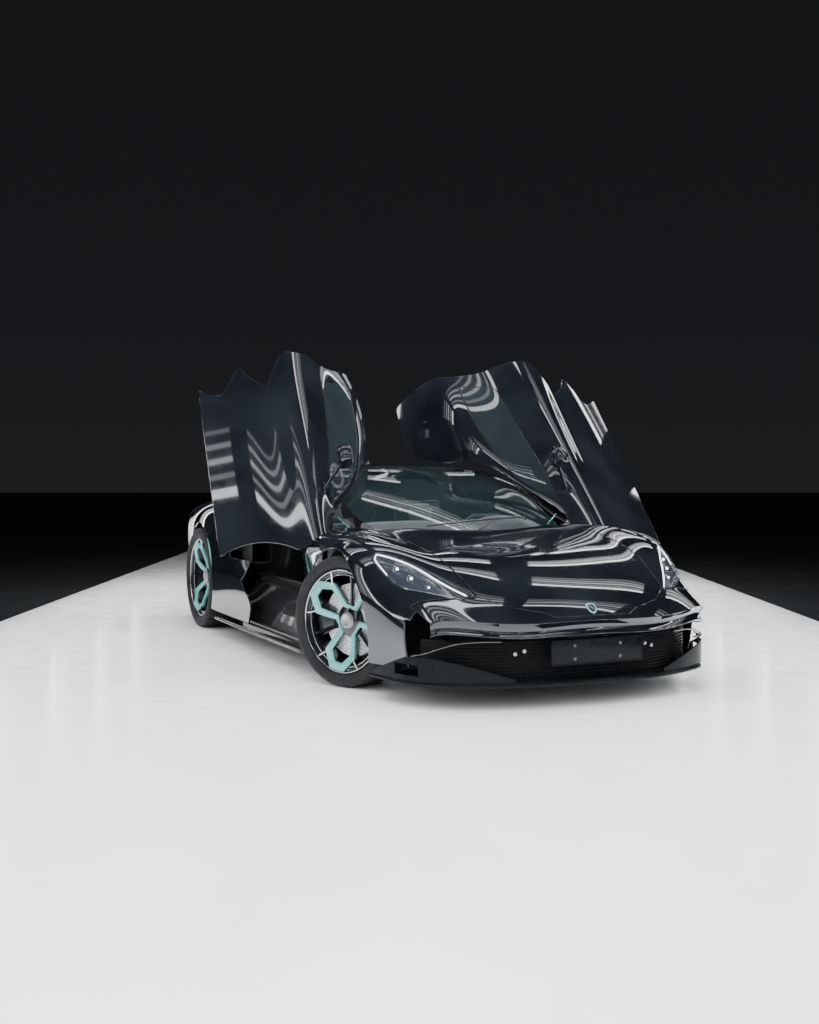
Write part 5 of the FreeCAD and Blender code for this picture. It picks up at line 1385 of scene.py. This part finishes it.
for s in (-1, 1):
    console.append(tube([(s * 90, y, 428 + max(0, (-300 - y)) * 0.62 - max(0, y + 300) * 0.094) for y in np.linspace(-540, 140, 18)], 2.6, 6, 4))
piece("console_body", join(*console), [CABIN, TRIM_GLOSS, ALLOY, HIDE, AQUA], stands_for="centre_console", sharp=40)
# steering wheel
ring = []
for k in range(64):
    a = 2 * math.pi * k / 64
    x, y = 165 * math.cos(a), 165 * math.sin(a)
    y = max(y, -138.0 - 0.10 * (138 + y))
    ring.append((x, y, 0.0))
wheel_parts = [tube(ring, 14.5, 12, 0, True)]
for a, w in ((8, 26), (172, 26), (270, 30)):
    c, s = math.cos(math.radians(a)), math.sin(math.radians(a))
    reach = 132 if a == 270 else 152
    q0 = np.array((c, s, 0.0)) * 40 + (0, 0, 2)
    q1 = np.array((c, s, 0.0)) * reach
    wheel_parts.append(tube([q0, (q0 + q1) / 2 + (0, 0, -3), q1], [w / 2, w / 2 * 0.8, w / 2 * 0.7], 10, 1, False, 0.35))
pad = rounded([(-56, -46), (56, -46), (62, 20), (34, 46), (-34, 46), (-62, 20)], 20, 5)
wheel_parts.append(loft([[(x * f, y * f, z) for x, y in pad] for z, f in ((-22, 0.9), (-16, 1.0), (4, 1.0), (12, 0.92), (15, 0.72))], 2))
for s in (-1, 1):
    wheel_parts.append(loft([[(s * (62 + 46 * t), 22 + 60 * u_, -26 + z) for t, u_ in ((0, -0.7), (1, -0.4), (1, 0.9), (0, 0.5))] for z in (0, 5)], 1))
    for k in range(3):
        wheel_parts.append(disc_at((s * (72 + 13 * k), 12, 9), (0, 0, 1), 5, 3, 14, 1, 0.5))
wheel_parts.append(tube([(0, 0, -16), (0, 0, -120), (0, -4, -200)], [30, 26, 24], 16, 1))
m = join(*wheel_parts)
turn_x = spin_matrix("X", -66)
m = moved(m, (365, -455, 735), turn_x)
piece("steering_wheel_body", m, [HIDE, TRIM, CABIN], stands_for="steering_wheel", sharp=40)
# floor carpets and pedals
bits = [block((110, -860, 156.5), (590, 420, 164), 0), block((-590, -860, 156.5), (-110, 420, 164), 0)]
for x, w in ((330, 30), (420, 22), (240, 34)):
    bits.append(moved(block((x - w, -4, -50), (x + w, 4, 50), 1), (0, -800, 330), None))
    bits.append(tube([(x, -806, 330), (x, -850, 420), (x, -860, 520)], 7, 8, 1))
piece("floor_mats", join(*bits), [CARPET, ALLOY])


# ---------------------------------------------------------------- mirrors and hinge arms, made on the closed door and swung open with it
def superloop(cx, cz, a, b, n=20, power=0.6):
    out = []
    for k in range(n):
        t = 2 * math.pi * k / n
        out.append((cx + a * math.copysign(abs(math.cos(t)) ** power, math.cos(t)), cz + b * math.copysign(abs(math.sin(t)) ** power, math.sin(t))))
    return out


def opened_plain(mesh):
    return turn(np.asarray(mesh[0], float), DOOR_OPEN_DEG), mesh[1], None, mesh[3]


secs = []
for x, y, z, a, b in ((978, -452, 938, 16, 14), (984, -454, 939, 34, 26), (1000, -456, 941, 50, 38), (1025, -457, 944, 57, 44), (1055, -458, 946, 59, 47),
                      (1082, -460, 947, 56, 45), (1098, -462, 947, 46, 38), (1106, -464, 946, 28, 24), (1108, -465, 946, 10, 9)):
    secs.append([(x, p, q_) for p, q_ in superloop(y, z, a, b, 24)])
head = loft(secs)
glass_pane = loft([[(x, y, z) for x, z in superloop(1043, 945, 46, 34, 24, 0.55)] for y in (-403.5, -396.5)], 1)
lip_ring = tube([(x, -400.5, z) for x, z in superloop(1043, 945, 48, 36, 28, 0.55)], 3.2, 6, 0, True, 1.0, (0, 1, 0))
stalk = tube([(908, -566, 806), (930, -545, 830), (962, -515, 866), (992, -484, 904), (1012, -466, 930)], [15, 13, 12, 13, 15], 12, 0, False, 0.55, (0, 1, 0))
foot = tube([(902, -590, 800), (912, -560, 808), (916, -525, 812)], [6, 13, 7], 10, 0, False, 0.5)
both_sides("mirror_body", opened_plain(join(head, glass_pane, lip_ring, stalk, foot)), [PAINT, MIRROR_GLASS], ("door_left", "door_right"), stands_for="door_mirror", sharp=40)


def on_axis(t):
    return HINGE + SWING * t


arm_parts = [disc_at(on_axis(-12), SWING, 21, 24, 28, 0), tube([on_axis(0), on_axis(0) + (30, 45, -14), (872, -690, 752), (899, -646, 744)], [17, 15, 13, 11], 12, 0)]
both_sides("hinge_arm", opened_plain(join(*arm_parts)), STEEL, ("door_left", "door_right"), stands_for="door_hinge_arm")

# ---------------------------------------------------------------- door trim, on the inside of the door shell
inner = sunk_skin(CABIN_NET, rows(CABIN_NET, -880, 440, 5.5, 0.09), arange(4.75, 7.9, 0.14),
                  [lambda q: q[:, 1] - door_front(q[:, 4]) - 120.0, lambda q: door_rear(q[:, 4]) - q[:, 1] - 60.0, lambda q: (q[:, 4] - 4.8) * 120.0,
                   lambda q: (7.6 - q[:, 4]) * 120.0],
                  lambda q: np.full(len(q), DOOR_THICK - 4.0), 7.0)
trim_keep = [lambda q: q[:, 1] - door_front(q[:, 4]) - 190.0, lambda q: door_rear(q[:, 4]) - q[:, 1] - 120.0, lambda q: (q[:, 4] - 5.3) * 120.0, lambda q: (6.6 - q[:, 4]) * 120.0]
pad_ = sunk_skin(CABIN_NET, rows(CABIN_NET, -800, 380, 5.9, 0.07), arange(5.25, 6.7, 0.09), trim_keep,
                 lambda q: DOOR_THICK + np.clip(np.minimum.reduce([k(q) for k in trim_keep]) * 0.45, 0, 13.0) - 1.0, 4.0)
pull = []
for y0 in (-330.0,):
    line = []
    for k in range(11):
        y = y0 + 34 * k
        u = CABIN_NET.row_of(y, 5.15)
        p, n = CABIN_NET.at([u], [5.15])[0], CABIN_NET.normal([u], [5.15])[0]
        line.append(p - n * (DOOR_THICK + 6 + 26 * math.sin(math.pi * k / 10)))
    pull.append(tube(line, 9.5, 10, 1, False, 0.6))
ln = []
for k in range(26):
    y = -640 + 36 * k
    u = CABIN_NET.row_of(y, 5.05)
    p, n = CABIN_NET.at([u], [5.05])[0], CABIN_NET.normal([u], [5.05])[0]
    ln.append(p - n * (DOOR_THICK + 3.0))
both_sides("door_trim", opened_plain(join(inner)), CABIN, ("door_left", "door_right"), sharp=50)
both_sides("door_trim_pad", opened_plain(pad_), HIDE_DOTS, ("door_left", "door_right"), sharp=60)
both_sides("door_trim_pull", opened_plain(join(*pull)), [CABIN, ALLOY], ("door_left", "door_right"), sharp=60)
both_sides("door_trim_line", opened_plain(tube(ln, 3.0, 6)), AQUA, ("door_left", "door_right"), sharp=60)
# rubber seal round the window, on the inner face of the frame
loop_pts = []
for v in np.linspace(2.86, 4.16, 14):
    loop_pts.append((float(glass_front(v)) - 5.0, v))
for f in np.linspace(0, 1, 9)[1:]:
    loop_pts.append((float(glass_front(4.18)) * (1 - f) + float(glass_rear(4.18)) * f, 4.215))
for v in np.linspace(4.12, 2.86, 14):
    loop_pts.append((float(glass_rear(v)) + 5.0, v))
for f in np.linspace(0, 1, 9)[1:-1]:
    loop_pts.append((float(glass_rear(2.8)) * (1 - f) + float(glass_front(2.8)) * f, 2.785))
line = []
for y, v in loop_pts:
    u = CABIN_NET.row_of(y, v)
    p, n = CABIN_NET.at([u], [v])[0], CABIN_NET.normal([u], [v])[0]
    line.append(p - n * 9.0)
both_sides("door_window_seal", opened_plain(tube(line, 6.0, 8, 0, True)), SEAL, ("door_left", "door_right"), sharp=60)

# ---------------------------------------------------------------- skirts, sills, jambs
plan = [(905, -850), (958, -880), (985, -858), (1001, -812), (1003, -500), (1004, 0), (1004, 900), (998, 960), (985, 1008), (905, 960)]
plan = rounded(plan, 14, 3)
secs = [[(x, y, z) for x, y in inset(plan, d)] for z, d in ((GROUND + 1, 5), (GROUND + 4, 1), (GROUND + 9, 0), (GROUND + 15, 1.5), (GROUND + 20, 6), (GROUND + 22, 12))]
both_sides("side_skirt", loft(secs), CARBON, sharp=40)
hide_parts("side_skirts")
tread = rounded([(636, 431), (742, 431), (800, 396), (806, 402), (748, 439), (636, 438)], 5, 3)
secs = [[(x, y, z) for x, z in tread] for y in (-780, -300, 200, 560)]
seal_line = [(650, -770, 441), (712, -700, 443), (742, -560, 442), (742, 480, 442), (716, 570, 444), (660, 600, 446)]
both_sides("sill_tread", join(loft(secs), tube(spline(seal_line, 6), 6.0, 8, 1)), [CARBON, SEAL], sharp=40)
# side intakes behind the doors: duct and a blade in the opening; turquoise on the rear arch's lip and in the front jamb
def on_side(y, z, lift=0.0):
    """Point of the body's side at the given y and z."""
    lo, hi = 4.4, 9.6
    for _ in range(26):
        m_ = (lo + hi) / 2
        lo, hi = (m_, hi) if CABIN_NET.at([CABIN_NET.row_of(y, m_)], [m_])[0, 2] > z else (lo, m_)
    u = CABIN_NET.row_of(y, lo)
    return CABIN_NET.at([u], [lo])[0] + CABIN_NET.normal([u], [lo])[0] * lift


def arch_accent(a0, a1, n=16):
    """Strip along the rear arch's lip, angles from the front of the wheel upward."""
    out = []
    for k in range(n):
        a = math.radians(a0 + (a1 - a0) * k / (n - 1))
        out.append(on_side(REAR_AXLE_Y - (REAR_ARCH_R + 5.0) * math.cos(a), REAR_TYRE_R + (REAR_ARCH_R + 5.0) * math.sin(a), -1.0))
    return tube(out, [2.0 + 4.5 * math.sin(math.pi * k / (n - 1)) for k in range(n)], 8, 0, False, 0.6)


both_sides("arch_accent", join(arch_accent(16, 47), arch_accent(116, 134)), AQUA)
rings = []
for y, x0, x1, z0, z1 in ((380, 770, 900, 540, 706), (520, 750, 905, 544, 702), (610, 730, 895, 556, 694), (760, 700, 850, 575, 676)):
    rings.append([(x, y, z) for x, z in rounded([(x0, z0), (x1, z0), (x1, z1), (x0, z1)], 22, 4)])
wider = [[(x + (4 if x > 800 else -4), y, z + (4 if z > 620 else -4)) for x, y, z in r] for r in rings]
duct = loft(rings + wider[::-1] + [rings[0]], caps=False)
# the plug that closes the duct's far end is a dark sheet of painted shade
duct_shade_plug = loft([[(x, 752, z) for x, y, z in rings[-1]], [(x, 764, z) for x, y, z in rings[-1]]], 1)
blade_ = []
for k in range(9):
    y = 400 + 26 * k
    p = on_side(y, 622 - 0.02 * k * k, -16.0)
    w = 38 + 8 * math.sin(math.pi * k / 8)
    blade_.append([(p[0], p[1], p[2] - 3), (p[0], p[1], p[2] + 3), (p[0] - w, p[1], p[2] + 6), (p[0] - w, p[1], p[2] - 2)])
both_sides("intake_duct", join(duct, duct_shade_plug), [DARK, SHADE_SHEET], sharp=40)
both_sides("intake_blade", loft(blade_), TRIM_GLOSS, sharp=50)
jamb = rounded([(-878, 432), (-735, 432), (-702, 531), (-662, 600), (-604, 668), (-640, 704), (-878, 704)], 18, 4)
secs = [[(x, y, z) for y, z in inset(jamb, d_)] for x, d_ in ((846, 3), (849, 0), (876, 0), (880, 4))]
edge_ = spline([(884, -733, 446), (886, -703, 531), (887, -663, 600), (886, -610, 662)], 7)
both_sides("front_jamb", join(loft(secs)), CARBON, sharp=40)
both_sides("jamb_accent", join(tube(edge_, [3 + 5.0 * math.sin(math.pi * k / (len(edge_) - 1)) for k in range(len(edge_))], 8, 0, False, 0.6),
                               tube([(735, -752, 876), (704, -756, 846), (664, -764, 812)], [3, 5, 3], 8, 0, False, 0.6)), AQUA)

# ---------------------------------------------------------------- cowl under the windscreen: grille strip, wiper
line, secs = [], []
for x in np.linspace(-640, 640, 41):
    y = COWL_Y0 + COWL_SWEEP * (x / 800.0) ** 2
    u = CABIN_NET.row_of(y + 6, 0.0)
    v = 0.0
    lo, hi = 0.0, 4.5
    for _ in range(22):
        m_ = (lo + hi) / 2
        lo, hi = (m_, hi) if CABIN_NET.at([CABIN_NET.row_of(y + 6, m_)], [m_])[0, 0] < abs(x) else (lo, m_)
    z = CABIN_NET.at([CABIN_NET.row_of(y + 6, lo)], [lo])[0, 2]
    secs.append([(x, y - 30, z - 26), (x, y - 30, z - 20), (x, y + 44, z - 17), (x, y + 44, z - 23)])
piece("cowl_panel", loft(secs), TRIM, sharp=50)


def on_screen(x, y, h):
    lo, hi = 0.0, 3.0
    for _ in range(22):
        m_ = (lo + hi) / 2
        lo, hi = (m_, hi) if CABIN_NET.at([CABIN_NET.row_of(y, m_)], [m_])[0, 0] < abs(x) else (lo, m_)
    u = CABIN_NET.row_of(y, lo)
    p, n = CABIN_NET.at([u], [lo])[0], CABIN_NET.normal([u], [lo])[0]
    return np.array([math.copysign(p[0], x), p[1], p[2]]) + n * (math.copysign(1, x) if False else 1, 1, 1) * h


blade_line = [on_screen(x, -1150 + 0.16 * (x + 330) + 70 * ((x - 20) / 400.0) ** 2, 8.0) for x in np.linspace(-330, 380, 24)]
arm_line = [on_screen(x, y, h) for x, y, h in ((-40, -1205, 4), (0, -1190, 12), (40, -1160, 17), (70, -1120, 13))]
wiper = [tube(blade_line, 3.2, 6, 0, False, 1.6), tube(arm_line, [8, 7, 5.5, 4.5], 8, 0, False, 0.5), disc_at(arm_line[0] - (0, 0, 12), (0, -0.3, 1), 13, 14, 20)]
piece("wiper_blade", join(*wiper), TRIM, sharp=50)

# ---------------------------------------------------------------- tail
tail_plan = spline([(0, 2375), (350, 2368), (600, 2346), (760, 2318), (806, 2296)], 6)
outer = [(x, y) for x, y in tail_plan]
plan = np.array(outer + [(x * 0.985, y - 14.0) for x, y in outer[::-1]] + [(-x * 0.985, y - 14.0) for x, y in outer[1:]] + [(-x, y) for x, y in outer[::-1][:-1]])
secs = [[(x, y - d, z) for x, y in plan] for z, d in ((430, 3), (434, 0.6), (440, 0), (560, 0), (700, 0), (738, 0), (743, 0.6), (745, 3))]
piece("rear_bumper_panel", loft(secs), PAINT, stands_for="rear_bumper", sharp=40)
bar_plan = spline([(0, 2364), (350, 2358), (600, 2338), (760, 2310), (790, 2298)], 6)
lights = []
for s in (-1, 1):
    body_ = [[(s * x, y, z), (s * x, y - 3, z + 3), (s * x * 0.99, y - 28, z + 3), (s * x * 0.99, y - 28, z - 3 - 32), (s * x, y - 3, z - 35), (s * x, y, z - 32)] for (x, y), z in zip(bar_plan, [787.0] * len(bar_plan))]
    lights.append(loft(body_))
for s in (-1, 1):
    for z in (764.0, 776.0):
        lights.append(tube([(s * x, y + 0.5, z) for x, y in bar_plan[1:]], 2.4, 6, 1))
piece("tail_light_bar", join(*lights), [TRIM_GLOSS, RED], stands_for="tail_light", sharp=40)
wing_side = rounded([(2262, 866), (2300, 872), (2356, 883), (2366, 891), (2330, 899), (2290, 900), (2262, 892)], 6, 4)
secs = []
for x in np.linspace(-618, 618, 31):
    k = 1 - 0.25 * (abs(x) / 618.0) ** 6
    secs.append([(x, 2314 + (y - 2314) * k, 884 + (z - 884) * k - 10 * (x / 618.0) ** 4) for y, z in wing_side])
wing = [loft(secs)] + [slab(rounded([(2268, 768), (2314, 768), (2314, 878), (2270, 868)], 4, 2), x - 6, x + 6, 0) for x in (-380, 380)]
piece("rear_wing_blade", join(*wing), CARBON, stands_for="rear_wing", sharp=40)
diff = [slab([(1890, 113), (2100, 172), (2340, 296), (2340, 306), (2090, 186), (1886, 126)], -688, 688)]
for x in (-600, -360, -120, 120, 360, 600):
    diff.append(slab(rounded([(1958, 122), (2338, 152), (2346, 160), (2345, 300), (2300, 284)], 6, 3), x - 4, x + 4))
piece("diffuser_blades", join(*diff), CARBON, stands_for="diffuser", sharp=40)
# the slab behind the tubes is a dark sheet of painted shade
rear_mesh_over_shade = [slab([(2318, 306), (2326, 306), (2326, 428), (2318, 428)], -640, 640)]
for z in np.arange(318, 426, 14):
    rear_mesh_over_shade.append(tube([(-636, 2328, z), (636, 2328, z)], 3.0, 6, 1))
piece("rear_mesh", join(*rear_mesh_over_shade), [DARK, TRIM], sharp=40)

# ---------------------------------------------------------------- carried nodes
KEPT = {"door_hinges": STEEL, "tub": CARBON, "underfloor": DARK, "battery": BATTERY, "drive_motors": ALLOY, "arch_liners": DARK,
        "knuckle_left": CALIPER, "knuckle_right": CALIPER, "front_suspension": STEEL, "rear_suspension": STEEL}
for name, mat in KEPT.items():
    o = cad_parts[name]
    if not o.data.materials:
        o.data.materials.append(mat)
    for k in range(len(o.data.materials)):
        o.data.materials[k] = mat
left = sorted(n for n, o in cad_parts.items() if not o.hide_render and n not in KEPT)
print("nodes left as they were:", left)


# ---------------------------------------------------------------- stage
def area(name, at, to, size, power, colour=(1, 1, 1)):
    l = bpy.data.lights.new(name, "AREA")
    l.shape, l.size, l.size_y, l.energy, l.color = "RECTANGLE", size[0], size[1], power, colour
    o = bpy.data.objects.new(name, l)
    bpy.context.scene.collection.objects.link(o)
    o.location = at
    o.rotation_euler = (Vector(to) - Vector(at)).to_track_quat("-Z", "Y").to_euler()
    return o


YAW = math.radians(24.33)
AHEAD, ACROSS = Vector((math.sin(YAW), math.cos(YAW), 0)), Vector((math.cos(YAW), -math.sin(YAW), 0))
EYE = Vector((-3.370, -7.590, 0))


def hall(d, r, z):
    """Point of the light hall: d metres ahead of the camera, r to its right, z high."""
    return EYE + AHEAD * d + ACROSS * r + Vector((0, 0, z))


def ground(name, half, d0, d1, z, mat):
    me = bpy.data.meshes.new(name)
    me.from_pydata([hall(d0, -half, z), hall(d0, half, z), hall(d1, half, z), hall(d1, -half, z)], [], [[0, 1, 2, 3]])
    me.materials.append(mat)
    o = bpy.data.objects.new(name, me)
    bpy.context.scene.collection.objects.link(o)


ground("floor", 3.1, -9.0, 19.0, 0.0, FLOOR)
ground("floor_dark", 40.0, -40.0, 60.0, -0.004, FLOOR_DARK)


def tube_light(name, period, shift, strength):
    """Panes in a row along the hall, each with one bright tube and its fainter repeats in the glass."""
    m_ = bpy.data.materials.new(name)
    m_.use_nodes = True
    t_ = m_.node_tree
    t_.nodes.clear()
    out = t_.nodes.new("ShaderNodeOutputMaterial")
    em = t_.nodes.new("ShaderNodeEmission")
    co = t_.nodes.new("ShaderNodeTexCoord")
    sp = t_.nodes.new("ShaderNodeSeparateXYZ")
    div = t_.nodes.new("ShaderNodeMath")
    div.operation = "DIVIDE"
    div.inputs[1].default_value = period
    add = t_.nodes.new("ShaderNodeMath")
    add.operation = "ADD"
    add.inputs[1].default_value = shift
    fr = t_.nodes.new("ShaderNodeMath")
    fr.operation = "FRACT"
    rp = t_.nodes.new("ShaderNodeValToRGB")
    rp.color_ramp.interpolation = "LINEAR"
    el = rp.color_ramp.elements
    el[0].position, el[0].color = 0.0, (0, 0, 0, 1)
    el[1].position, el[1].color = 1.0, (0, 0, 0, 1)
    for pos, v in ((0.150, 0.0), (0.156, 1.0), (0.200, 1.0), (0.206, 0.01), (0.250, 0.01), (0.256, 0.22), (0.278, 0.22), (0.284, 0.01),
                   (0.330, 0.02), (0.338, 0.42), (0.360, 0.42), (0.368, 0.02), (0.410, 0.02), (0.417, 0.26), (0.436, 0.26), (0.444, 0.01),
                   (0.486, 0.01), (0.493, 0.14), (0.508, 0.14), (0.515, 0.0)):
        k_ = el.new(pos)
        k_.color = (v * 0.965, v * 0.98, v, 1)
    t_.links.new(co.outputs["Object"], sp.inputs[0])
    t_.links.new(sp.outputs["Y"], div.inputs[0])
    t_.links.new(div.outputs[0], add.inputs[0])
    t_.links.new(add.outputs[0], fr.inputs[0])
    t_.links.new(fr.outputs[0], rp.inputs["Fac"])
    t_.links.new(rp.outputs["Color"], em.inputs["Color"])
    em.inputs["Strength"].default_value = strength
    t_.links.new(em.outputs[0], out.inputs["Surface"])
    m_.cycles.emission_sampling = "NONE"
    return m_


def panes(name, a, b, mat):
    """Row of light panes along the hall; its section runs from a to b, each (across, up)."""
    me = bpy.data.meshes.new(name)
    me.from_pydata([(a[0], -10.0, a[1]), (b[0], -10.0, b[1]), (b[0], 13.0, b[1]), (a[0], 13.0, a[1])], [], [(0, 1, 2, 3)])
    me.materials.append(mat)
    o = bpy.data.objects.new(name, me)
    bpy.context.scene.collection.objects.link(o)
    o.matrix_world = Matrix.Translation(EYE) @ Matrix((ACROSS, AHEAD, Vector((0, 0, 1)))).transposed().to_4x4()
    o.visible_camera = o.visible_diffuse = o.visible_shadow = o.visible_transmission = False


TOP = tube_light("tubes_top", 1.46, 0.96 - 0.19, 10.0)
SIDE_TUBES = tube_light("tubes_side", 1.35, 0.52 - 0.19, 9.0)
panes("panes_top", (-0.95, 3.05), (0.95, 3.05), TOP)
for s in (-1, 1):
    panes("panes_slope_%d" % s, (s * 1.3, 2.95), (s * 2.5, 2.25), TOP)
    panes("panes_wall_%d" % s, (s * 2.62, 0.25), (s * 2.62, 1.75), SIDE_TUBES)
for k in range(6):
    d = -6.5 + 3.6 * k
    l = area("soft_top_%d" % k, hall(d, 0, 3.3), hall(d, 0, 0), (5.2, 3.4), 430, (0.97, 0.985, 1.0))
    l.visible_camera = False
    l.visible_glossy = False
    for s in (-1, 1):
        l = area("soft_side_%d_%d" % (k, s), hall(d, s * 2.9, 1.2), hall(d, 0, 0.7), (3.4, 1.8), 75, (0.97, 0.985, 1.0))
        l.visible_camera = False
        l.visible_glossy = False
world = bpy.data.worlds.new("studio")
world.use_nodes = True
nt = world.node_tree
bg = nt.nodes["Background"]
tc = nt.nodes.new("ShaderNodeTexCoord")
sep = nt.nodes.new("ShaderNodeSeparateXYZ")
ramp = nt.nodes.new("ShaderNodeValToRGB")
nt.links.new(tc.outputs["Generated"], sep.inputs[0])
nt.links.new(sep.outputs["Z"], ramp.inputs["Fac"])
e = ramp.color_ramp.elements
e[0].position, e[0].color = 0.0, (0.016, 0.017, 0.019, 1)
e[1].position, e[1].color = 1.0, (0.008, 0.009, 0.010, 1)
k = e.new(0.12)
k.color = (0.012, 0.013, 0.015, 1)
nt.links.new(ramp.outputs["Color"], bg.inputs["Color"])
bg.inputs["Strength"].default_value = 1.0
bpy.context.scene.world = world
cam = bpy.data.cameras.new("photo_camera")
cam.lens, cam.sensor_width, cam.sensor_fit = 44.19, 36.0, "AUTO"
cam.shift_x, cam.shift_y = 0.0, -0.0428
cam.clip_end = 100.0
camera = bpy.data.objects.new("photo_camera", cam)
camera.location = (-3.370, -7.590, 1.163)
camera.rotation_euler = (math.radians(90.0), 0.0, math.radians(-24.33))
bpy.context.scene.collection.objects.link(camera)
bpy.context.scene.camera = camera

bpy.context.view_layer.update()
